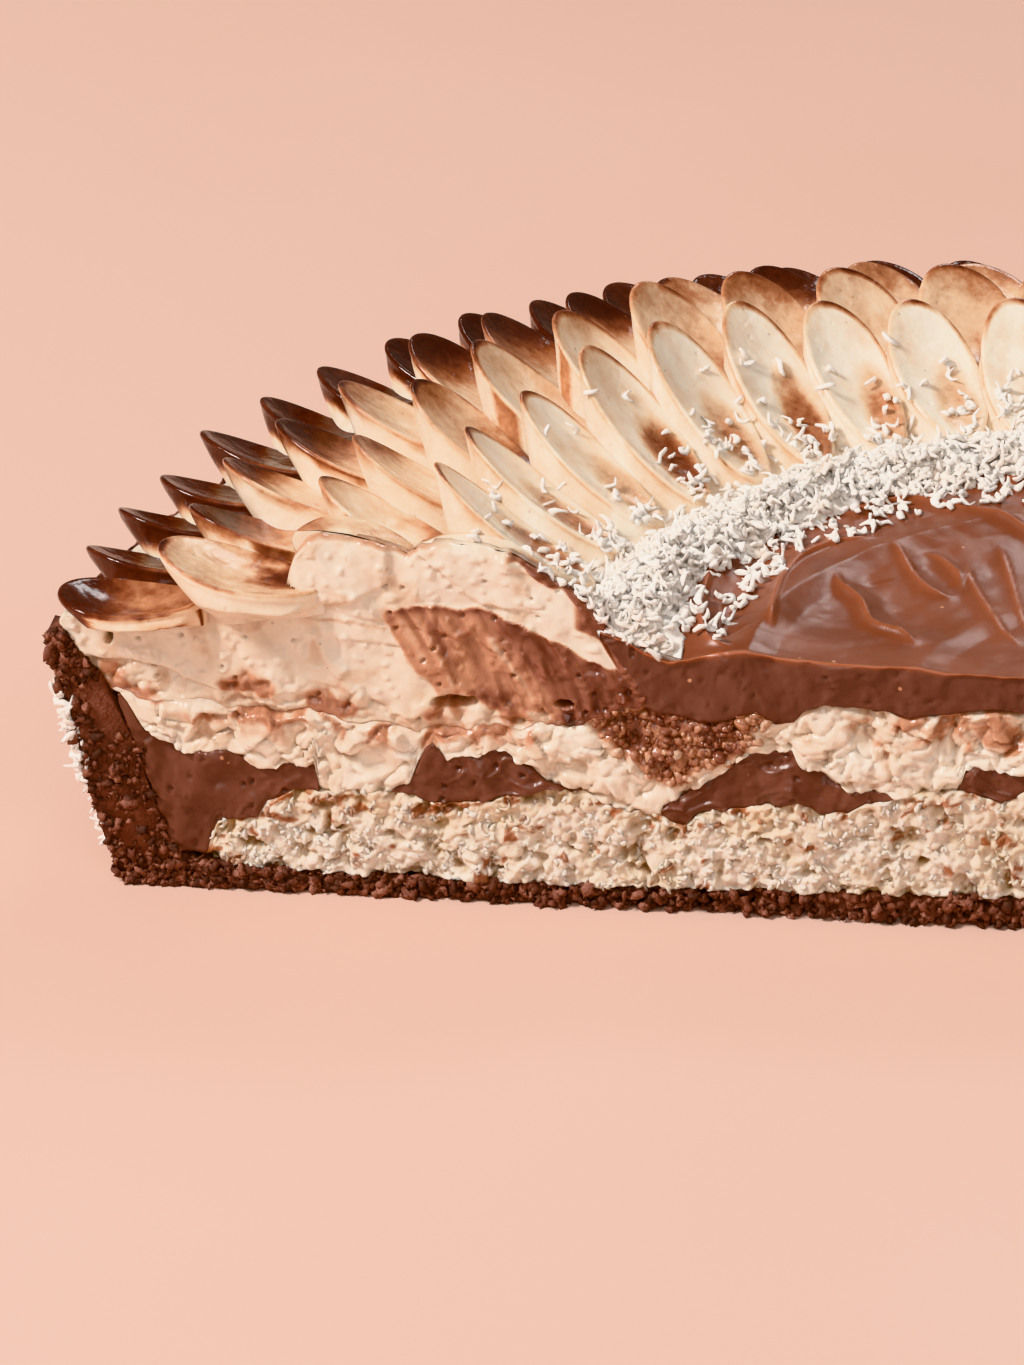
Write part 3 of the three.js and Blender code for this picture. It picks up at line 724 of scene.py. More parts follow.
def cut_top(x):
    """The top edge of the smooth cream at the cut. At the left it takes in the two petals that were cut."""
    plain = height(CREAM_TOP, x)
    return np.where(x < 0, np.maximum(plain, height(CUT_CROWN, x, 0.12, 1.6, 77)), plain)


# %% Mocha
def comb(x, z):
    """Noise of 1.1 mm drawn out along the bent way that the knife took through the mocha."""
    return rough(stacked(x + 0.45 * (z - 30) + 0.02 * (z - 30) ** 2, z * 0.1), 1.1, 3, 80)


def mocha(x, z):
    """Cocoa in the smooth cream between the two mocha lines. From the left it rises from 0.38 to 0.5, and
    past a slanting edge it is 0.71. past is how far a point lies outside that edge, radius = 60.3 +
    0.65 (z − 23.1) + 0.012 (z − 29)². Streaks and one pale stripe run along it."""
    flat = stacked(x, z)
    radius = np.abs(x) + 0.5 * bumps(flat, 3.0, 51)
    level = z + 0.35 * bumps(flat, 2.4, 52)
    under_top = height(MOCHA_TOP, radius) - level
    past = radius - 60.3 - 0.65 * (z - 23.1) - 0.012 * (z - 29) ** 2
    streak = rough(stacked(past, z * 0.13), 1.7, 3, 53)
    below = smooth(level - height(MOCHA_BOTTOM, radius), -1.0, 2.0)
    between = smooth(under_top, -0.05, 0.35) * smooth(80.4 - radius, 0, 0.6)
    between = between * np.clip(below * 1.5 + 0.5 * streak * (1 - below), 0, 1)
    stripe = np.exp(-((past - 1.0 - 0.4 * streak) / 0.8) ** 2) * smooth(z, 23.5, 26) * smooth(34.5 - z, 0, 3)
    tan = mix(0.33, 0.45, smooth(14 - past, 0, 12)) + 0.08 * streak + 0.12 * comb(x, z) - 0.22 * stripe
    tan = tan + 0.22 * smooth(1.3 - under_top, 0, 1.0)
    return np.maximum.reduce([
        between * np.clip(tan + 0.05, 0.08, 1),
        (0.71 + 0.08 * streak) * smooth(past, 0.6, -1.6) * smooth(under_top, -0.1, 0.8),
        0.3 * np.exp(-((z - height(FAINT_SEAM, x)) / 0.3) ** 2),
        0.6 * np.exp(-((radius - 79.6) / 1.1) ** 2 - ((z - 34.8) / 1.3) ** 2),
        0.66 * smooth(58.6 - radius, 0, 1.2) * smooth(z - height(CREAM_TOP, x), -1.5, -0.9),
    ])


# %% The smooth cream
def folds(x, z, period, seed):
    """A slanting sawtooth: q = (z + 0.3 x + noise) / period. Just above each fold the cream stands out, and
    it falls back as (q − whole part of q) to the power 1.6 until the next fold."""
    q = (z + 0.3 * x + 2.4 * rough(stacked(x * 0.3, z), 6.0, 2, seed)) / period
    part = q - np.floor(q)
    strength = mix(0.2, 1.0, draw(np.floor(q), 3, 0, seed))
    strength = strength * smooth(bumps(stacked(x, q * 9), 14.0, seed + 1), -0.6, 0.4)
    return strength * part ** 1.6 * smooth(1 - part, 0, 0.07)


def leaning(x, z):
    """The cut plane squeezed so that even noise becomes ridges that lean with the knife."""
    return stacked(x + 0.5 * z, (z - 0.3 * x) * 0.22)


def petal_faces(x, z):
    """The two cut petals: their top edge falls back, the left one stands out over its lower edge and falls
    back at its tip. Returns the change of depth, and chocolate smeared over the top edge."""
    radius, below = np.abs(x), cut_top(x) - z
    here = smooth(radius, 53, 56) * smooth(93 - radius, 0, 1.0) * (x < 0)
    stand = smooth(z - height(UNDER_PETAL, x), 0, 0.7) * smooth(radius, 79.2, 80.2) * here
    smear = smooth(1.0 + 0.7 * bumps(on_axis(x), 2.4, 78) - below, 0, 0.5) * smooth(x, -67, -65) * here
    smear = np.maximum(smear, 0.55 * smooth(0.6 - below, 0, 0.5) * here * smooth(radius, 70, 76))
    depth = 0.6 * smooth(0.8 - below, 0, 0.8) ** 2 * here - 0.7 * stand - 0.3 * smear
    return depth + 2.2 * smooth(radius, 89.0, 92.5) ** 2 * stand, smear


def smeared(x, z, share):
    """Depth: folds 6 mm apart, ridges that lean with the knife, or in the mocha follow its comb, soft lumps,
    pits of 0.6 mm and torn holes. The lowest part breaks up into curds."""
    flat, lean = stacked(x, z), leaning(x, z)
    near, _, chance = grains(flat, 2.4, 62)
    bead, _, which = grains(flat, 1.7, 67)
    curd, _, few = grains(pushed(flat, 0.5, 1.7, 65), 2.0, 63)
    breaks = smooth(height(LUMPS_TOP, x) + 3.6 + 2.2 * bumps(on_axis(x), 6.0, 68) - z, -1.2, 1.6)
    brown = mocha(x, z)
    stirred = smooth(brown, 0.2, 0.35)
    depth = 0.75 + 0.3 * rough(lean, 1.9, 2, 61) + 0.35 * bumps(flat, 5.0, 64)
    depth = depth + 0.6 * smooth(0.15 - near, 0, 0.08) * (chance > 0.78)
    depth = depth - 0.22 * smooth(0.3 - bead, 0, 0.2) * (which > 0.6) + 0.07 * rough(flat, 1.0, 2, 69)
    depth = depth + 0.9 * folds(x, z, 6.0, 60) * (1 - 0.6 * breaks) * (1 - 0.8 * stirred)
    depth = depth + 0.3 * comb(x, z) * stirred
    depth = depth + 0.22 * rough(flat, 3.0, 2, 81) - 0.3 * smooth(rough(flat, 1.7, 2, 82), 0.4, 0.8)
    depth = depth + breaks * (1.2 * dome(curd) + 0.15 * few + 0.7 * dome(bead) - 0.4)
    depth = depth + 0.45 * smooth(bumps(flat, 3.5, 48), 0.1, 0.7) * smooth(0.05 - share, 0, 0.05)
    depth = mix(meeting(x), depth, smooth(z - lumps_line(x), 0, 1.0))
    for hole_x, hole_z, wide, high in TORN:
        depth = depth + 2.6 * smooth(1.25 - np.hypot((x - hole_x) / wide, (z - hole_z) / high), 0, 0.45)
    more, smear = petal_faces(x, z)
    tan = 0.12 + 0.04 * rough(lean, 5.0, 2, 70) + 0.1 * smooth(rough(flat, 3.4, 3, 71), 0.3, 0.9)
    # The stains are noise, and the colour is also darker at the edges of the curds.
    stains = 0.34 * smooth(rough(flat, 2.6, 3, 72), -0.1, 0.6) + 0.12 * smooth(curd, 0.5, 0.9)
    cocoa = np.maximum.reduce([brown, tan + 0.05 * breaks, 0.68 * smear]) + stains * breaks
    return depth + more, {"cocoa": np.clip(cocoa, 0, 1)}


# %% Slabs and body of the smooth cream
CREAM_START, CREAM_END, ON_WALL = 50.4, 117.8, 111.8  # radii: past ON_WALL the cream lies on the crust
parts = []
for x, rows in ((steps(-CREAM_END, -CREAM_START, 0.25), 96), (steps(CREAM_START, CREAM_END, 0.25), 60)):
    plain = height(CREAM_TOP, x)
    low = np.where(np.abs(x) > ON_WALL, height(WALL_INSIDE, x), np.minimum(lumps_line(x), plain))
    low = np.minimum(low, plain)
    over = smooth(cut_top(x) - plain, 0, 1.5)
    high = np.maximum(cut_top(x), low + 0.02)
    knee = None
    if x[0] < 0:
        knee = np.minimum(np.maximum(plain - 0.3, mix(low, high, 0.7)), mix(low, high, 0.9))
    parts.append(slab(x, low, high, rows, smeared, mix(SLAB_DEPTH, 3.2, over), mix(BACK_FALL, 0, over), knee))
radii = steps(CREAM_START, CREAM_END, 1.6)
low = np.where(radii > ON_WALL, height(WALL_INSIDE, radii), height(LUMPS_TOP, radii))
high = height(CREAM_TOP, radii) - 2.2 * smooth(radii, 107, 116)
parts.append(layer(radii, np.minimum(low, high), high, 97, [("cocoa", 0.12)]))
piece("smooth_cream", together(parts), cut_cream, ["cream_upper"])

# %% [markdown]
# ### Ganache in the middle
# The bowl between the petals was filled with ganache and swirled with a spoon. Each stroke left a shallow
# dent and pushed up a thin crest beside it, and one stroke ended in a small curl. The crests are drawn as
# lines seen from above, and each raises the surface near it.

# %% The middle ganache
STROKES = [  # height of the crest, width of its steep side, width of its dent side, points along it
    (1.5, 0.5, 3.0,
     [(-31.3, 22.3), (-30.2, 18.7), (-27.5, 16.1), (-26.1, 11.2), (-24.5, 9.9), (-21.8, 8.8), (-19.8, 6.2)]),
    (1.1, 0.6, 4.5,
     [(-25.8, 30.4), (-29, 29.6), (-32.1, 28.5), (-35.3, 24.8), (-37, 19.4), (-37.3, 12), (-36.8, 5.6)]),
    (1.3, 0.5, 2.6,
     [(-41.7, 30.9), (-43.9, 25.0), (-45.2, 19.0), (-45.4, 12.2), (-44.8, 6.1), (-43.5, 2.6), (-40, 1.2)]),
    (0.9, 0.5, 2.5,
     [(-25.8, 30.4), (-24.0, 26.8), (-22.8, 24.0), (-20.7, 20.6), (-18.1, 18.7), (-16.5, 19.6)]),
    (0.8, 0.5, 2.8, [(-16.5, 19.6), (-17.2, 23.9), (-19.6, 27.4), (-22.6, 28.7)]),
    (0.7, 0.8, 3.0, [(-16.9, 27.7), (-15.6, 22.6), (-13.0, 16.4), (-10.8, 11.6), (-8, 8)]),
    (0.7, 0.8, 3.2, [(-13.5, 31.8), (-11.4, 25.3), (-9.0, 14.6), (-5, 8)]),
    (1.2, 0.6, 4.0, [(-33, 34), (-25.3, 39.6), (-19.9, 38.8), (-13.0, 36.3), (-6, 31), (2, 24), (8, 20)]),
    (1.1, 0.6, 4.0, [(-36, 37.5), (-27, 44.6), (-16, 46.5), (-4, 44), (6, 38), (13, 29), (16, 20)]),
    (1.2, 0.6, 4.5, [(-20, 50.5), (-6, 51.5), (8, 49), (20, 41), (27, 30), (29, 18), (26, 8)]),
    (1.0, 0.6, 4.5, [(12, 51), (24, 45), (34, 34), (38, 22), (37, 10), (33, 3)]),
    (1.1, 0.5, 3.0, [(6, 14), (12, 17), (18, 14), (19, 8), (14, 4), (9, 5)]),
    (0.9, 0.5, 3.0, [(34, 36), (42, 27), (45.5, 16), (45, 6)]),
]


GANACHE_RADIUS = 55.5
NOTCH = (45.4, 47.6, 50.4)  # the points of its line that are lower at the cut only


def back_rise(radius, angle):
    """How much higher the middle stands away from the cut: 3.2 sin(angle) near radius 50, less inside."""
    return 3.2 * np.sin(angle) * smooth(radius, 16, 47) * (1 - smooth(radius, 52, 57.3))


def crests(x, y):
    """For each stroke and the distance d to its line: height · (0.3 exp(−(d / 0.33)²) + 0.42 exp(−(d / w)²)),
    where the width w is small on the steep side, less a shallow dent beyond. Also the painted glow along the
    thin crests."""
    raised = np.zeros_like(x)
    thin = np.zeros_like(x)
    for crest, steep, wide, line in STROKES:
        count = 8 * (len(line) - 1) + 1
        fine = by_number(line, np.linspace(0, len(line) - 1, count))
        for _ in range(6):
            fine[1:-1] = (fine[:-2] + 2 * fine[1:-1] + fine[2:]) / 4
        best = np.full(x.shape, 1e9)
        side = np.zeros_like(x)
        along = np.zeros_like(x)
        length = np.concatenate([[0], np.cumsum(np.hypot(*np.diff(fine, axis=0).T))])
        for n in range(count - 1):
            (ax, ay), (bx, by) = fine[n], fine[n + 1]
            ux, uy = bx - ax, by - ay
            t = np.clip(((x - ax) * ux + (y - ay) * uy) / (ux * ux + uy * uy), 0, 1)
            dx, dy = x - ax - t * ux, y - ay - t * uy
            far = np.hypot(dx, dy)
            closer = far < best
            best = np.where(closer, far, best)
            side = np.where(closer, ux * dy - uy * dx, side)
            along = np.where(closer, length[n] + t * (length[n + 1] - length[n]), along)
        fade = smooth(along, 0, 5) * smooth(length[-1] - along, 0, 4)
        width = np.where(side > 0, 0.7 * wide, 2 * steep)
        dent = np.exp(-((best - 1.3 * wide) / wide) ** 2) * (side > 0)
        ridge = np.exp(-(best / 0.33) ** 2)
        raised += crest * fade * (0.3 * ridge + 0.42 * np.exp(-(best / width) ** 2) - 0.25 * dent)
        thin = np.maximum(thin, fade * ridge)
    return raised, thin


def ganache_surface(x, y):
    """Height of the top: the line of the cut by radius, up to 3.2 mm more at the back near the rim, the
    crests and soft waves. At the cut itself the crests are low, because the knife wiped them."""
    radius, angle = np.hypot(x, y), np.arctan2(y, x)
    middle = on_line([point for point in GANACHE_TOP if point[0] not in NOTCH], radius)
    wave = 0.2 * rough(stacked(x, y), 14.0, 2, 71) + 0.05 * rough(stacked(x, y), 2.5, 2, 75)
    lip = 0.3 * np.exp(-(y / 0.5) ** 2) * (0.6 + 0.4 * bumps(on_axis(x), 2.0, 76))
    inside = smooth(GANACHE_RADIUS - radius, 0, 4)
    swirls = (wave + crests(x, y)[0]) * inside * mix(0.2, 1, smooth(y, 0, 2.5))
    plain = mix(on_line(GANACHE_TOP, radius), middle, smooth(y, 0, 7)) + back_rise(radius, angle)
    return plain + swirls + lip


def ganache_rings():
    """One ring for each x: up the cut in 20 rows, over the top to the back in 200 rows that are denser near
    the cut, and back below in 8. Rings shorten with x as a half circle does."""
    x = -GANACHE_RADIUS * np.cos(np.linspace(0.02, np.pi - 0.02, 410))[:, None]
    reach = np.sqrt(GANACHE_RADIUS ** 2 - x ** 2)
    low = on_line(LUMPS_TOP[:16] + SLOPE, np.abs(x))
    low = np.minimum(low + 0.3 * rough(on_axis(x), 2.4, 2, 13), height(GANACHE_TOP, x) - 0.02)
    share = np.linspace(0, 1, 20)[None]
    z = mix(low, ganache_surface(x, 0 * x), share)
    depth, _ = dragged(np.broadcast_to(x, z.shape), z, share)
    lip = smooth(1 - share, 0, 0.1)
    back = reach * np.linspace(0, 1, 201)[None, 1:] ** 1.15
    wide = np.broadcast_to(x, back.shape)
    home = reach * np.linspace(1, 0, 9)[None, :-1]
    floor = on_line([(0, 26.5), (50.2, 25.4), (55.6, 34.2)], np.hypot(x, home)) - 0.3
    front, top = stacked(x, (depth - 0.5) * lip * 0.7, z), stacked(wide, back, ganache_surface(wide, back))
    # Painted glow along the thin crests and along the edge at the cut.
    thin = np.maximum(0.5 * crests(wide, back)[1] * smooth(back, 0, 2.5), 0.8 * np.exp(-(back / 0.45) ** 2))
    return np.concatenate([front, top, stacked(x, home, floor)], 1), {
        "cut": np.concatenate([lip + 0 * x, 0 * back, 1 + 0 * home], 1),
        "thin": np.concatenate([0.8 * smooth(share, 0.93, 1) + 0 * x, thin, 0 * home], 1),
    }


rings, fields = ganache_rings()
piece("swirled_ganache", skin(wander(rings), fields), ganache_set, ["ganache_centre"])

# %% [markdown]
# ## Crust
# The wall of the crust is seen all round, so it gets its own fine skin with worn crumb on the outside. The
# base is a plain disc. At the cut a slab follows the crust from the middle out and up the wall.

# %% The crust
OUTSIDE = [
    (0, 0), (60, 0), (92, 0), (110.6, 0), (112, 0.8), (113.5, 5), (115, 10.4), (116.4, 16), (117.7, 22),
    (118.9, 28), (119.6, 31.4),
]
INSIDE = [
    (0, 4), (60, 2.4), (92, 2.5), (101, 3), (104.4, 3.6), (106, 6), (107.1, 10), (108.2, 14.5), (110, 19),
    (113.6, 26.2), (117.2, 30.9),
]
UNROLLED = 116  # the radius at which the wall is unrolled for its noise


def wall_radius(level):
    """The radius of the outside of the wall at a level."""
    return on_line([(z, radius) for radius, z in OUTSIDE[3:]], level)


def patch(radius, z, wide, high):
    """The pressed patch in the wall: exp(−d²), with d the distance from its middle in those half sizes."""
    return np.exp(-((radius - 112.6) / wide) ** 2 - ((z - 22.3) / high) ** 2)


def crust_relief(flat, seed):
    """Depth of crumb, of grains of 1.7 and 0.8 mm, and where holes of 3 mm are torn."""
    flat = pushed(flat, 0.4, 1.3, seed)
    near, _, chance = grains(flat, 1.7, seed + 2)
    small, _, few = grains(flat, 0.8, seed + 3)
    torn = smooth(rough(flat, 3.0, 2, seed + 4), 0.1, 0.8)
    return 0.7 * smooth(near, 0.1, 0.75) + 0.6 * chance + 0.45 * smooth(small, 0.1, 0.7) + 0.25 * few, torn


def wall_skin():
    """Rings round the half circle. Each goes up the outside, over the rim and down the inside, and the crumb
    moves the outside in by its depth. Away from the cut the rim is 1.1 mm lower."""
    angle = np.linspace(0, np.pi, 760)[:, None]
    lower = 1.1 * smooth(np.sin(angle), 0.03, 0.1)
    level = np.linspace(0, 1, 70)[None] * (31.2 - lower)
    unrolled = stacked(angle * UNROLLED, level)
    grain, torn = crust_relief(unrolled, 81)
    wear = grain * 0.75 + 0.7 * torn
    by_cut = 0.2 + 0.8 * smooth(np.sin(angle) * UNROLLED, 0, 5)
    worn = wall_radius(level) - np.clip(wear - 0.35, -0.1, 3) * smooth(level, -0.5, 2) * by_cut
    outside = polar(worn, angle, level + 0.35 * bumps(unrolled, 2.2, 86) * smooth(level, 24, 31))
    radius, z = np.array([
        (118.9, 31.2), (118.2, 31.1), (117.4, 30.3), (113.6, 26.0), (110.0, 18.8), (107.4, 10), (105.5, 4),
        (108, 0.1),
    ]).T
    ragged = 1 + 0.004 * bumps(stacked(angle * UNROLLED, z), 1.6, 87)
    lift = np.minimum(0.35 * bumps(on_axis(angle * UNROLLED), 2.2, 88), 0.1)
    inside = polar(radius * ragged, angle, z + (lift - lower) * (z > 29))
    rings = np.concatenate([outside, inside], 1)
    rings[..., 1] = np.maximum(rings[..., 1], 0.3)
    # Painted shade: the outside is darker where the crumb is worn deep; the inside has a fixed tone.
    return skin(rings, {"hollow": np.concatenate([wear / 2.4, np.full(inside.shape[:2], 0.2)], 1)})


def crust_slab(side):
    """Along the crust's profile from the middle out and up the wall: the front between outside and inside in
    16 rows, pressed in by the crumb, but smooth in the patch."""
    place = np.concatenate([np.linspace(0, 3, 560)[:-1], np.linspace(3, 10, 170)])
    outer, inner = by_number(OUTSIDE, place), by_number(INSIDE, place)
    flat = mix(outer[:, None], inner[:, None], np.linspace(0, 1, 16)[None, :, None])
    grain, torn = crust_relief(1.5 * flat * [side, 1], 93)
    packed = smooth(patch(flat[..., 0], flat[..., 1], 1.7, 3.6) + 0.25 * bumps(flat, 2.0, 97), 0.4, 0.75)
    depth = (grain + 2.4 * torn) * (1 - 0.85 * packed) + 0.3 * packed
    # Painted shade: darker where the crumb is pressed in deep, and 0.1 more along the inner edge.
    hollow = smooth(depth, 0.3, 3.4)
    hollow[:, -1] += 0.1
    ragged = pushed(flat, 0.35, 0.9, 91)
    rings = [stacked(side * ragged[..., 0], depth, np.maximum(ragged[..., 1], 0))]
    for share in (0.9, 0.1):
        radius, z = mix(outer, inner, share).T[..., None]
        rings.append(stacked(side * radius, SLAB_DEPTH, z))
    fields = {"hollow": hollow, "packed": packed}
    fields = {name: np.concatenate([v, v[:, -1:], v[:, :1]], 1) for name, v in fields.items()}
    return skin(np.concatenate(rings, 1), fields)


base = layer(np.array([0, 30, 60, 92, 105, 110.6]), np.zeros(6), np.array([3.8, 3.0, 2.3, 2.4, 3.4, 3.6]), 37,
             [("hollow", 0.4)])
crust = together([wall_skin(), crust_slab(-1), crust_slab(1), base])
piece("crumb_crust", crust, crust_baked, ["crust"])

# %% [markdown]
# ## Petals
# Each petal is a spoonful of cream: a dished almond face with a thin rounded rim, on a body that narrows to
# its foot. The draws that make each one differ are the same as in the solids, so every petal lies on its
# solid.

# %% Sizes and draws
WORDS = ("count", "first", "pitch", "tip", "root", "tail", "outer", "lift", "swell", "start")
ROWS = [dict(zip(WORDS, row)) for row in (
    (33, 179.3, 5.55, 118.3, 112.6, 100.6, 37.2, 0, 2, 36.6),
    (26, 179, 7, 106.5, 98.8, 86.9, 41.8, 0, 3, 42.6),
    (22, 179.25, 8.25, 91.2, 85.4, 74.6, 46.5, 0, 3.8, 44.3),
    (21, 179.7, 8.7, 77.4, 73.2, 57.8, 48, 2, 4, 43.6),
)]
TIP_UNEVEN, MOST_TURN, LEAST_ROLL, MOST_ROLL, MORE_ROLL = 1.2, 4.5, 9, 17, 9


def seeded(seed):
    """A run of draws: state → (1664525 · state + 1013904223) mod 2³², divided by 2³²."""
    state = seed
    while True:
        state = (state * 1664525 + 1013904223) % 4294967296
        yield state / 4294967296


def settings(row, number):
    """Angle, height and reach of the tip, turn and roll of each petal of a row."""
    run = seeded(91 + number)
    made = []
    for n in range(row["count"]):
        degrees = row["first"] - n * row["pitch"]
        hill = float(smooth(degrees, 105, 135) * (1 - smooth(degrees, 142, 166)))
        raised = row["outer"] + row["lift"] * float(smooth(degrees, 155, 172)) + row["swell"] * hill
        leaning = MORE_ROLL * float(smooth(degrees, 85, 135))
        height_of_tip = raised + TIP_UNEVEN * (next(run) - 0.5) if n else row["start"]
        reach = row["tip"] + TIP_UNEVEN * (next(run) - 0.5)
        turn = math.radians(MOST_TURN * (2 * next(run) - 1))
        roll = math.radians(mix(LEAST_ROLL, MOST_ROLL, next(run)) + leaning) if n else 0
        made.append((math.radians(degrees), height_of_tip, reach, turn, roll))
    return made


# %% Face and wall of a petal
AROUND, FACE_RINGS, LIP_RINGS, WALL_RINGS = 60, 15, 5, 13
WAY = np.linspace(0, 2 * np.pi, AROUND, endpoint=False)
ALONG = (1 - np.cos(WAY)) / 2  # the outline of every petal: how far from tip to tail
ASIDE = np.sin(WAY) * (1 + 0.2 * np.cos(WAY))  # and how far to the side, in half widths
SAG, DISH, JOIN, TAIL = 0.9, 1.1, 1.0, 0.9
LIP = 0.52  # radius of the rounded rim
FLARE = 0.18  # how much wider the foot is on the side of the raised edge
SUNK = 1.6  # how deep the foot stands in the smooth cream


def face(row, tip, tip_height, roll, half_width, chance, crown):
    """Rings from the middle of the face over the lip, a part of a turn of radius LIP. The face is the rim's
    height less dish · (1 − ρ²) and less a groove, and its raised edge is across · tan roll higher. Returns
    radius, across, height, the way along, ρ and the drop below the rim."""
    tail = row["tail"]
    middle = (tip + tail) / 2
    uneven = 1 + 0.035 * np.sin(2 * WAY + 6 * chance[0]) + 0.02 * np.sin(3 * WAY + 6 * chance[1])
    rim_radius, rim_across = mix(tip, tail, ALONG), half_width * ASIDE * uneven
    reach = np.hypot(rim_radius - middle, rim_across)
    step = np.linspace(0.07, 1, FACE_RINGS)[:, None]
    lean = np.linspace(0, 1, LIP_RINGS + 1)[1:, None] * np.pi * 0.72
    share = np.vstack([step * (1 - LIP / reach), np.minimum(1 - LIP * (1 - np.sin(lean)) / reach, 1)])
    rho = np.vstack([step + 0 * reach, 1 + 0 * lean * reach])
    drop = np.vstack([0 * step * reach, LIP * (1 - np.cos(lean)) + 0 * reach])
    across, radius = rim_across * share, middle + (rim_radius - middle) * share
    here = 0.5 + (ALONG - 0.5) * share

    tail_height = on_line(CREAM_TOP, tail) + 0.6 + TAIL
    rim = mix(tip_height, tail_height, here) - SAG * np.sin(np.pi * here)
    if crown:
        rim = on_line(crown, mix(tip, tail, here))
    rim = rim + across * math.tan(roll) * (1 - 0.6 * here)
    dish = DISH * (0.15 if crown else mix(0.75, 1.35, chance[2])) * (1 - rho ** 2)
    trough = across - half_width * mix(-0.25, 0.1, chance[3])
    groove = (0 if crown else 0.35 * chance[4]) * np.exp(-(trough / (0.3 * half_width)) ** 2)
    groove = groove * smooth(here, 0.25, 0.7) * (1 - rho ** 4)
    return radius, across, rim - dish - groove - drop, here, rho, drop


def wall(row, rim, half_pitch, half_width, chance, seed):
    """Rings from the last ring of the face, rim, down to the foot. They bow in and have an uneven belly."""
    root, tail = row["root"], row["tail"]
    down = np.linspace(0, 1, WALL_RINGS + 1)[1:, None]
    bow = down ** mix(1.05, 1.35, chance[5])
    foot_radius = mix(root, tail, ALONG)
    foot_across = (half_pitch * (root + tail) / 2 + JOIN) * ASIDE * (1 + FLARE * smooth(ASIDE, 0, 1))
    radius, across = mix(rim[0], foot_radius, bow), mix(rim[1], foot_across, bow)
    z = mix(rim[2], on_line(CREAM_TOP, foot_radius) - SUNK, down)
    belly = 0.32 * bumps(stacked(radius + 40 * seed, across, z), 3.4, 7) * np.sin(np.pi * down) ** 0.7
    return radius, across * (1 + belly / half_width), z


# %% One petal
def petal(row, angle, tip_height, tip, turn, roll, seed, crown=None):
    """Face and wall, turned about the petal's middle and then round the axis. A crown, if given, is the line
    of radius and height that the rim follows. Returns the rings, and the way along, the half widths across,
    ρ and the drop below the rim at each point."""
    chance = [float(draw(seed, n, 5)) for n in range(8)]
    half_pitch = math.tan(math.radians(row["pitch"]) / 2)
    half_width = half_pitch * mix(tip, row["tail"], 0.35)
    *top, here, rho, drop = face(row, tip, tip_height, roll, half_width, chance, crown)
    side = wall(row, [part[-1] for part in top], half_pitch, half_width, chance, seed)
    drop = np.vstack([drop, top[2][-1] + LIP - side[2]])
    here, rho = np.vstack([here, ALONG + 0 * side[2]]), np.vstack([rho, 1 + 0 * side[2]])
    radius, across, z = (np.vstack(pair) for pair in zip(top, side))
    middle = (tip + row["tail"]) / 2
    r = middle + (radius - middle) * math.cos(turn) - across * math.sin(turn)
    t = (radius - middle) * math.sin(turn) + across * math.cos(turn)
    x, y = r * math.cos(angle) - t * math.sin(angle), r * math.sin(angle) + t * math.cos(angle)
    return stacked(x, y, z), here, across / half_width, rho, drop


# %% [markdown]
# The outer petals were dipped: their faces are dark chocolate that runs to tan at the tail. Row by row it
# gets less, until the inner petals are ivory with a thin caramel rim and one mocha stain on the side away
# from the raised edge.

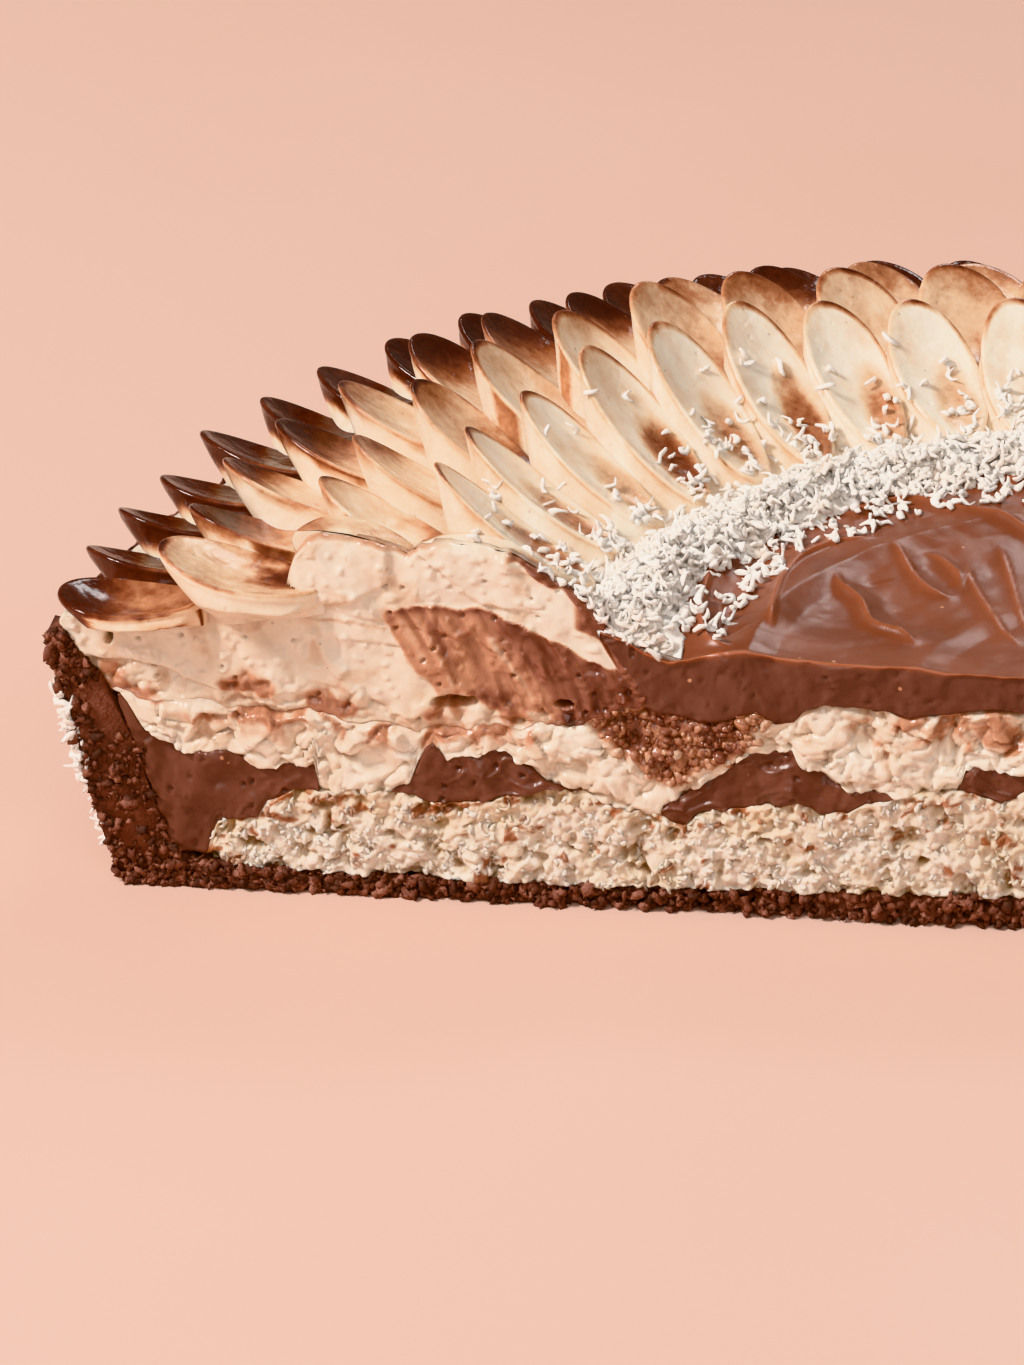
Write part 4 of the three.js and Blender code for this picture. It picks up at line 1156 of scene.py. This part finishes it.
# %% Cocoa on the petals
def cocoa_on(row, n, here, across, rho, drop, seed):
    """Cocoa from 0 to 1: a base for the face, more at the tip and on the rim, and what ran down the wall.
    Streaks are noise drawn out along the petal, with blotches added."""
    chance = [float(draw(seed, m, 9)) for m in range(8)]
    lay = stacked(across * 5 + 17 * seed, here * 3)
    blotch = rough(stacked(across * 4.5 + 9 * seed, here * 18), 3.2, 3, 79)
    streak = 0.55 * rough(lay, 1.6, 3, 73) + 0.75 * blotch
    rim = smooth(rho, 0.955, 1.0)
    on_wall = smooth(drop, 0.12, 0.45)
    tip = 1 - smooth(here, 0.02, 0.3)
    broken = np.clip(0.7 + 0.6 * bumps(stacked(here * 5 + seed, across * 2), 1.0, 74), 0.1, 1.2)
    if row == 0:
        face = mix(0.92, 0.5, smooth(here + 0.12 * across, 0.45, 1.0)) + 0.14 * streak
        edge = 0.9
        reach = mix(0.7, 1.8, chance[2])
        wall = 0.1 + 0.78 * (1 - smooth(drop, reach + 1.2 * tip, reach + 1.4 + 1.6 * tip + streak))
        if n == 0:
            face = mix(0.9, 0.5, smooth(here + 0.06 * streak, 0.1, 0.6)) + 0.12 * streak
            edge = mix(0.9, 0.5, smooth(here, 0.1, 0.5))
            wall = 0.12 + 0.72 * (1 - smooth(drop, 0.2 + 1.8 * tip, 0.6 + 3.4 * tip + 0.5 * streak))
            wall = wall + 0.5 * np.exp(-((here - 0.7) / 0.1) ** 2) * smooth(drop, 0.5, 2)
    elif row == 1:
        dark = mix(0.7, 0.92, chance[1]) if chance[0] > 0.5 else mix(0.2, 0.45, chance[1])
        reach = mix(0.4, 0.85, chance[3])
        face = mix(dark, 0.13, smooth(here + 0.1 * streak, 0.1, reach)) + 0.2 * tip + 0.13 * streak
        if n == 0:
            stain = smooth(here + 0.12 * streak, 0.52, 0.72) * smooth(-across, -0.4, 0.2)
            face = 0.22 + 0.62 * stain + 0.12 * streak
        edge = 0.62 * mix(1, 0.55, smooth(here, 0.1, 0.7)) + 0.3 * tip
        wall = 0.08 + mix(0.25, 0.7, chance[1]) * (1 - smooth(drop, 0.3, 1.0 + 3.2 * tip + streak)) * (n > 0)
    elif row == 2:
        face = mix(0.06, 0.24, chance[0]) + 0.42 * tip * chance[1] + 0.1 * streak
        stain = smooth(here + 0.1 * streak, 0.45, 0.85) * smooth(-across, -0.3, 0.4)
        face = face + mix(0.15, 0.55, chance[2]) * stain
        edge = 0.5 * mix(1, 0.25, smooth(here, 0.1, 0.5)) + 0.32 * tip
        wall = 0.08 + 0.35 * (1 - smooth(drop, 0.2, 0.8 + 1.8 * tip + 0.8 * streak))
    else:
        face = 0.02 + 0.05 * chance[0] + 0.07 * streak
        spot = np.hypot((here - 0.66) / 0.3, (across + mix(0.1, 0.4, chance[3])) / 0.5) + 0.25 * streak
        face = face + mix(0.2, 0.6, chance[1]) * (1 - smooth(spot, 0.4, 1.25))
        edge = 0.42 * mix(1, 0.3, smooth(here, 0.08, 0.5)) + 0.22 * tip
        wall = 0.07 + 0.22 * (1 - smooth(drop, 0.2, 0.8 + 0.7 * streak)) + 0.08 * streak
    top = mix(face, np.maximum(face, edge * broken), rim)
    return np.clip(mix(top, wall, on_wall), 0, 1)


# %% Make the four rows
CROWNS = {  # radius and height of the top edge of the two petals that the knife went through
    2: [(74.6, 41.0), (78.6, 42.9), (81.5, 43.8), (84.4, 44.5), (88, 44.8), (90.4, 44.4), (91.2, 43.4)],
    3: [(57.8, 38.6), (61.6, 40.6), (65.7, 43.1), (70.1, 43.8), (73.5, 44.0), (76.0, 43.8), (77.4, 42.6)],
}


BEHIND_SLAB = 2.0  # how far behind the cut those two begin


def petal_row(number, row):
    """All the petals of a row as one skin. At the cut their points are moved onto it, or in the two outer
    rows, which hang over it, to a little in front of it. The two that the knife went through lie behind the
    slab of smooth cream that carries their cut faces."""
    skins = []
    for n, (angle, tip_height, tip, turn, roll) in enumerate(settings(row, number)):
        seed = 40 * number + n + 3
        crown = CROWNS.get(number) if n == 0 else None
        rings, here, across, rho, drop = petal(row, angle, tip_height, tip, turn, roll, seed, crown)
        cocoa = cocoa_on(number, n, here, across, rho, drop, seed)
        x, y, z = np.moveaxis(rings, -1, 0)
        flat, lean = stacked(x, z), leaning(x, z)
        least = BEHIND_SLAB + 0 * y
        if not crown:
            least = 0.6 + 0.34 * rough(lean, 1.9, 3, 61) + 0.3 * bumps(flat, 4.0, 64)
            least = least + 0.14 * rough(flat, 1.0, 2, 69)
        hanging = mix(0.5, 7, smooth(drop / drop[-1], 0.95, 0.2)) * smooth(here, 1.0, 0.72)
        least = least - (number < 2) * hanging
        if crown:
            cocoa = np.where(y < least, 0.09 + 0.05 * rough(lean, 5.0, 2, 70), cocoa)
        skins.append(skin(stacked(x, np.maximum(y, least), z), {"cocoa": cocoa}))
    return together(skins)


for number, row in enumerate(ROWS):
    name = str(number + 1)
    piece("petals_" + name, petal_row(number, row), petal_cream, ["petal_row_" + name])

# %% [markdown]
# ## Coconut
# Grated coconut is short strips, half a millimetre thick and up to three long, curled this way and that. One
# strip has few faces, so thousands of them can be real. They lie in a heap on a low bank between ganache and
# petals, and some have fallen further.

# %% Strips
def turned(points, first, second, angle):
    """Turns two directions of the points into each other: a cos − b sin, a sin + b cos."""
    parts = list(np.moveaxis(points, -1, 0))
    a, b = parts[first], parts[second]
    angle = angle.reshape((-1,) + (1,) * (a.ndim - 1))
    parts[first], parts[second] = a * np.cos(angle) - b * np.sin(angle), a * np.sin(angle) + b * np.cos(angle)
    return stacked(*parts)


def strips(points, length, width, thick, rng, steep=0.6):
    """Many curled strips at once. Each has 5 rings of 4 corners along a line bent two ways, tapers to its
    ends as sqrt(1 − 0.7 s²), is turned about its own length, tipped up by about steep and turned round."""
    count = len(points)
    s = np.linspace(-1, 1, 5)
    bend = rng.uniform(-0.65, 0.65, (count, 1))
    hook = rng.uniform(-0.5, 0.5, (count, 1))
    lengths = length * rng.uniform(0.4, 1.1, (count, 1))
    taper = np.sqrt(1 - 0.7 * s ** 2) * rng.uniform(0.8, 1.2, (count, 5))
    line = stacked(s * lengths / 2, bend * lengths * (s ** 2 - 0.4), hook * lengths * (s ** 3 - 0.6 * s))
    corner = np.array([[0, 1, 1], [0, 1, -1], [0, -1, -1], [0, -1, 1]]) / 2
    half = stacked(np.ones(count), width * rng.uniform(0.6, 1.2, count), thick * rng.uniform(0.7, 1.3, count))
    rings = line[:, :, None] + corner[None, None] * half[:, None, None] * taper[:, :, None, None]
    rings = turned(rings, 1, 2, rng.uniform(0, np.pi, count))
    rings = turned(rings, 0, 2, rng.normal(0, steep, count))
    rings = turned(rings, 0, 1, rng.uniform(0, 2 * np.pi, count))
    rings = rings + points[:, None, None]
    rings[..., 2] = np.maximum(rings[..., 2], 0)
    return rings


def many(rings, fields=None):
    """The skins of many small pieces of equal build: quads round each, and a fan over each end."""
    count, along, around, _ = rings.shape
    fan = np.array([[0, n, n + 1] for n in range(1, around - 1)])
    tris = np.vstack([fan, (along - 1) * around + fan[:, ::-1]])
    centred = rings[0].reshape(-1, 3) - rings[0].mean((0, 1))
    quads, tris = facing_out(centred, quads_between(along, around), tris)
    size = along * around
    shift = (np.arange(count) * size)[:, None, None]
    return {
        "points": rings.reshape(-1, 3), "quads": (quads + shift).reshape(-1, 4),
        "tris": (tris + shift).reshape(-1, 3),
        "fields": {name: np.repeat(values, size) for name, values in (fields or {}).items()},
    }


# %% The bank
BANK_RADIUS = 52


def bank_top(radius, angle):
    """Height of the coconut bank: up from 32.2 at radius 46 to 36.2 at 54, up to 3.2 higher at the back, in
    grains of 1.3 mm. It falls to the ganache within 4 mm of the cut."""
    x, y = radius * np.cos(angle), radius * np.sin(angle)
    around = stacked(angle * BANK_RADIUS, radius)
    near, _, chance = grains(around, 1.3, 103)
    full = on_line([(46, 32.2), (48, 33.4), (51, 35.2), (54, 36.2), (57.3, 35.8)], radius)
    full = full + back_rise(radius, angle) + 0.5 * rough(around, 2.4, 2, 101)
    full = full - 0.7 * smooth(near, 0.1, 0.8) + 0.4 * chance
    return mix(ganache_surface(x, y) + 0.1, full, smooth(y, 0.6, 4.5))


def bank_edge(angle):
    """How far the inner edge of the bank wanders: 1.5 mm of noise 5 mm long."""
    return 1.5 * rough(on_axis(angle * BANK_RADIUS), 5.0, 2, 102)


angle = np.linspace(0.012, np.pi - 0.012, 420)[:, None]
radius = np.linspace(45.4, 57.2, 34)[None]
radius = radius + bank_edge(angle) * (1 - smooth(radius, 46, 54))
x, y = radius * np.cos(angle), radius * np.sin(angle)
top = bank_top(radius, angle)
under = on_line([(45, 32.0), (50, 33.4), (55.3, 34.2), (57.3, 35.6)], radius)
under = under + 3.2 * np.sin(angle) * (1 - smooth(radius, 52, 57.3))
under = np.minimum(under, np.minimum(ganache_surface(x, y) - 0.3, top - 0.2))
rings = np.concatenate([stacked(x, y, top), stacked(x, y, under)[:, ::-5]], 1)
bank = piece("coconut_bank", skin(rings), coconut_dry, ["coconut_ring"])

# %% [markdown]
# Each strip of the heap is dropped from above: a ray finds what lies under it, so strips also come to rest on
# the tails of the petals and on the edge of the ganache.

# %% The heap
def landed(x, y, pieces):
    """The height of the highest of the pieces under each point, found by a ray straight down."""
    trees = [BVHTree.FromObject(made, bpy.context.evaluated_depsgraph_get()) for made in pieces]
    heights = []
    for px, py in zip(x * 0.001 + axis_x, y * 0.001 + cut_y):
        hits = [tree.ray_cast((px, py, 0.08), (0, 0, -1))[0] for tree in trees]
        heights.append(max([hit.z * 1000 for hit in hits if hit], default=33.0))
    return np.array(heights)


HEAP, STRAYS = 4300, 1150
rng = np.random.default_rng(7)
angle = rng.uniform(0.01, np.pi - 0.006, HEAP)
radius = np.clip(rng.normal(BANK_RADIUS + 0.4, 2.5, HEAP), 46, 60) + bank_edge(angle)
angle = np.append(angle, rng.uniform(0.02, np.pi - 0.02, STRAYS))
radius = np.append(radius, 56 + rng.exponential(4.2, STRAYS) - 14 * (rng.uniform(0, 1, STRAYS) < 0.2))
radius = np.clip(radius, 42.5, 72)
x, y = radius * np.cos(angle), radius * np.sin(angle)
deep = 1.3 * smooth(radius, 46, 49) * smooth(59 - radius, 0, 4) * smooth(y, 0, 3)
others = [bpy.data.objects[name] for name in ("petals_4", "swirled_ganache", "smooth_cream")]
spots = stacked(x, y, landed(x, y, [bank, *others]) + 0.25 + deep * rng.uniform(-0.3, 1.0, len(x)))
piece("coconut_heap", many(strips(spots, 2.4, 0.8, 0.45, rng)), coconut_dry)

# %% [markdown]
# Some strips stick to the outside of the crust, mostly in small clumps low on the wall. Six clumps are those
# at the left end of the cut, where the photo shows them.

# %% Coconut on the crust
STRIPS, AT_CUT, CLUMPS = 1000, 66, 90
CUT_ANGLES, CUT_LEVELS = np.array([
    (0.012, 22.5), (0.02, 17.0), (0.016, 14.5), (0.03, 8.0), (0.01, 19.5), (0.024, 4.5),
]).T
clump = np.append(rng.uniform(0.03, np.pi - 0.05, CLUMPS), np.pi - CUT_ANGLES)
high = np.append(rng.uniform(5, 25, CLUMPS), CUT_LEVELS)
which = rng.integers(0, len(clump), STRIPS)
which[:AT_CUT] = CLUMPS + np.arange(AT_CUT) % 6
angle = np.clip(clump[which] + rng.normal(0, 0.012, STRIPS), 0.006, np.pi - 0.003)
level = np.clip(high[which] + rng.normal(0, 1.5, STRIPS), 2, 28)
spots = polar(wall_radius(level) + rng.uniform(-0.4, 0.4, STRIPS), angle, level)
piece("coconut_on_crust", many(strips(spots, 2.6, 0.9, 0.5, rng)), coconut_dry)

# %% [markdown]
# ## Loose crumbs
# The relief alone has no overhangs. Real crumb has, so small lumps of both crumbs and of the stained cream
# are pressed into it: each is a small knob with a random shape, half sunk in the surface.

# %% Knobs
def knobs(points, size, rng, least=0.3, wild=(0.4, 1.3)):
    """Uneven little balls: 4 rings of 5 corners, each corner's radius drawn between the two wild numbers.
    Sizes are least + (1 − least) · draw², so small ones are the most common."""
    count = len(points)
    level = np.array([-0.85, -0.3, 0.3, 0.85])
    way = np.linspace(0, 2 * np.pi, 5, endpoint=False)
    ring = np.sqrt(1 - level ** 2)[:, None]
    unit = stacked(ring * np.cos(way), ring * np.sin(way), level[:, None])
    sizes = size * mix(least, 1, rng.uniform(0, 1, (count, 1, 1, 1)) ** 2)
    stretch = rng.uniform(0.6, 1.4, (count, 1, 1, 3))
    rings = unit[None] * sizes * stretch * rng.uniform(*wild, (count, 4, 5, 1))
    rings = turned(rings, 0, 2, rng.uniform(0, 2 * np.pi, count))
    rings = turned(rings, 0, 1, rng.uniform(0, 2 * np.pi, count)) + points[:, None, None]
    rings[..., 2] = np.maximum(rings[..., 2], 0)
    return rings


# %% Curds on the cut
def sunk(relief, x, z, share):
    """The places at x and z on a relief of the cut, just inside it, and the relief's fields there."""
    depth, fields = relief(x[:, None], z[:, None], share[:, None])
    return wander(stacked(x, depth[:, 0] + 0.05, z)), {name: field[:, 0] for name, field in fields.items()}


CURDS, STAINED = 1500, 0.3
rng = np.random.default_rng(13)
x = rng.choice([-1, 1], CURDS) * rng.uniform(31, 60, CURDS)
share = rng.uniform(0.03, 1.0, CURDS)
spots, fields = sunk(curds, x, mix(pool_line(x), lumps_line(x), share), share)
stained = fields["cocoa"] > STAINED
cocoa = np.clip(fields["cocoa"] + rng.normal(0, 0.08, CURDS), 0.04, 1)[stained]
beads = many(knobs(spots[stained], 0.75, rng, 0.4, (0.75, 1.2)), {"cocoa": cocoa})
piece("cream_curds", beads, curd_cream)

# %% Shreds and crumbs of the cake
SHREDS = 1100
rng = np.random.default_rng(11)
x = rng.uniform(-101, 101, SHREDS)
share = rng.uniform(0.02, 0.98, SHREDS)
z = mix(height(FLOOR, x), cake_line(x), share)
spots, fields = sunk(crumb, x, z, share)
brown = (rng.uniform(0, 1, SHREDS) > mix(0.996, 0.95, smooth(z, 7, 13))) * 0.8
# Each shred takes half of the painted pit shade of the crumb where it lies.
fields = {"hollow": fields["hollow"] * 0.5, "toast": np.maximum(brown, 0.8 * fields["toast"])}
piece("cake_shreds", many(strips(spots, 1.4, 0.55, 0.4, rng, 1.2), fields), cake_crumb)

# %% Crumbs of the crust
IN_CUT, IN_BASE, IN_WALL = 5600, 3300, 1600
place = rng.uniform(3, 10, IN_CUT)
place[:IN_BASE] = 3.2 * rng.uniform(0, 1, IN_BASE) ** 0.8
share = rng.uniform(0, 1, IN_CUT)[:, None]
radius, level = mix(by_number(OUTSIDE, place), by_number(INSIDE, place), share).T
on_cut = stacked(rng.choice([-1, 1], IN_CUT) * radius, rng.uniform(-0.1, 1.8, IN_CUT), np.maximum(level, 0.4))
on_cut = on_cut[patch(radius, level, 2.0, 4.0) <= 0.35]
angle = rng.uniform(0.01, np.pi - 0.01, IN_WALL)
level = rng.uniform(0.6, 28.3, IN_WALL)
on_wall = polar(wall_radius(level) - rng.uniform(0.4, 1.3, IN_WALL), angle, level)
for name, spots, size in (("crust_crumbs", on_cut, 0.85), ("crust_wall_crumbs", on_wall, 1.1)):
    # Each loose crumb gets a random tone in the same field that carries the painted pit shade.
    bits = many(knobs(spots, size, rng, 0.35, (0.3, 1.45)), {"hollow": rng.uniform(0, 0.7, len(spots))})
    piece(name, bits, crust_baked)

# %% [markdown]
# ## Floor, light and camera
# The tart stands on a plain pale floor. Light comes from a small bright window at the left and a wide one in
# front, with a weak one behind, so the rims and the swirls shine and the cut stays evenly lit.

# %% Floor
paint = Paint("pale_matt_floor")
cloud = paint.noise(1000 / 3, Detail=4.0)
floor_paint = paint.surface({
    "Base Color": paint.band(cloud, [(0.3, "#DFB8A8"), (0.7, "#E5C3B5")]), "Roughness": 0.6, "IOR": 1.5,
})
mesh = bpy.data.meshes.new("floor")
mesh.from_pydata([(-4, -4, 0), (4, -4, 0), (4, 4, 0), (-4, 4, 0)], [], [(0, 1, 2, 3)])
mesh.materials.append(floor_paint)
floor = bpy.data.objects.new("floor", mesh)
bpy.context.collection.objects.link(floor)

# %% Light
world = bpy.data.worlds.new("soft_room")
world.use_nodes = True
sky = world.node_tree.nodes["Background"].inputs
sky["Color"].default_value, sky["Strength"].default_value = linear("#FFEBDD"), 0.26
bpy.context.scene.view_settings.view_transform = "Khronos PBR Neutral"
bpy.context.scene.world = world


def window(name, place, target, size, power, colour):
    """A square area light of that size in metres, turned to the target."""
    light = bpy.data.lights.new(name, "AREA")
    light.shape, light.size, light.energy = "SQUARE", size, power
    light.color = linear(colour)[:3]
    lamp = bpy.data.objects.new(name, light)
    bpy.context.collection.objects.link(lamp)
    lamp.location = place
    x, y, z = np.array(place) - np.array(target)
    lamp.rotation_euler = (math.atan2(math.hypot(x, y), z), 0, math.atan2(x, -y))


window("window_left", (-0.8, -0.45, 0.85), (-0.05, -0.03, 0.03), 0.27, 17, "#FFFBF6")
window("window_front", (0.15, -1.1, 1.0), (-0.05, 0, 0.03), 0.9, 6.2, "#FFFBF7")
window("window_behind", (0.12, 0.8, 0.85), (-0.03, 0, 0.03), 0.26, 2.2, "#FFFFFF")

# %% [markdown]
# The camera looks 24 degrees down from 80 cm, 9 degrees to the right of straight on, with a long lens. The
# picture's frame cuts off the right half of the tart.

# %% Camera
AZIMUTH, ELEVATION, ROLL = (math.radians(degrees) for degrees in (9.18, 24.37, -0.98))
DISTANCE = 0.8
FOCAL = 7064  # focal length in pixels of a picture of this height
PICTURE_HEIGHT = 1365
SENSOR = 36.0
target = np.array([axis_x - 0.06557, cut_y, 0.02798])
level = math.cos(ELEVATION)
back = np.array([math.sin(AZIMUTH) * level, -math.cos(AZIMUTH) * level, math.sin(ELEVATION)])
right = np.array([math.cos(AZIMUTH), math.sin(AZIMUTH), 0.0])
up = np.cross(back, right)

camera_data = bpy.data.cameras.new("camera")
camera_data.sensor_width = SENSOR
camera_data.lens = FOCAL / PICTURE_HEIGHT * SENSOR
camera_data.clip_start = 0.05
camera = bpy.data.objects.new("camera", camera_data)
bpy.context.collection.objects.link(camera)
turn = np.eye(4)
turn[:3, 0] = math.cos(ROLL) * right + math.sin(ROLL) * up
turn[:3, 1] = math.cos(ROLL) * up - math.sin(ROLL) * right
turn[:3, 2] = back
turn[:3, 3] = target + DISTANCE * back
camera.matrix_world = Matrix(turn.tolist())
bpy.context.scene.camera = camera

# %% Update the scene
bpy.context.view_layer.update()
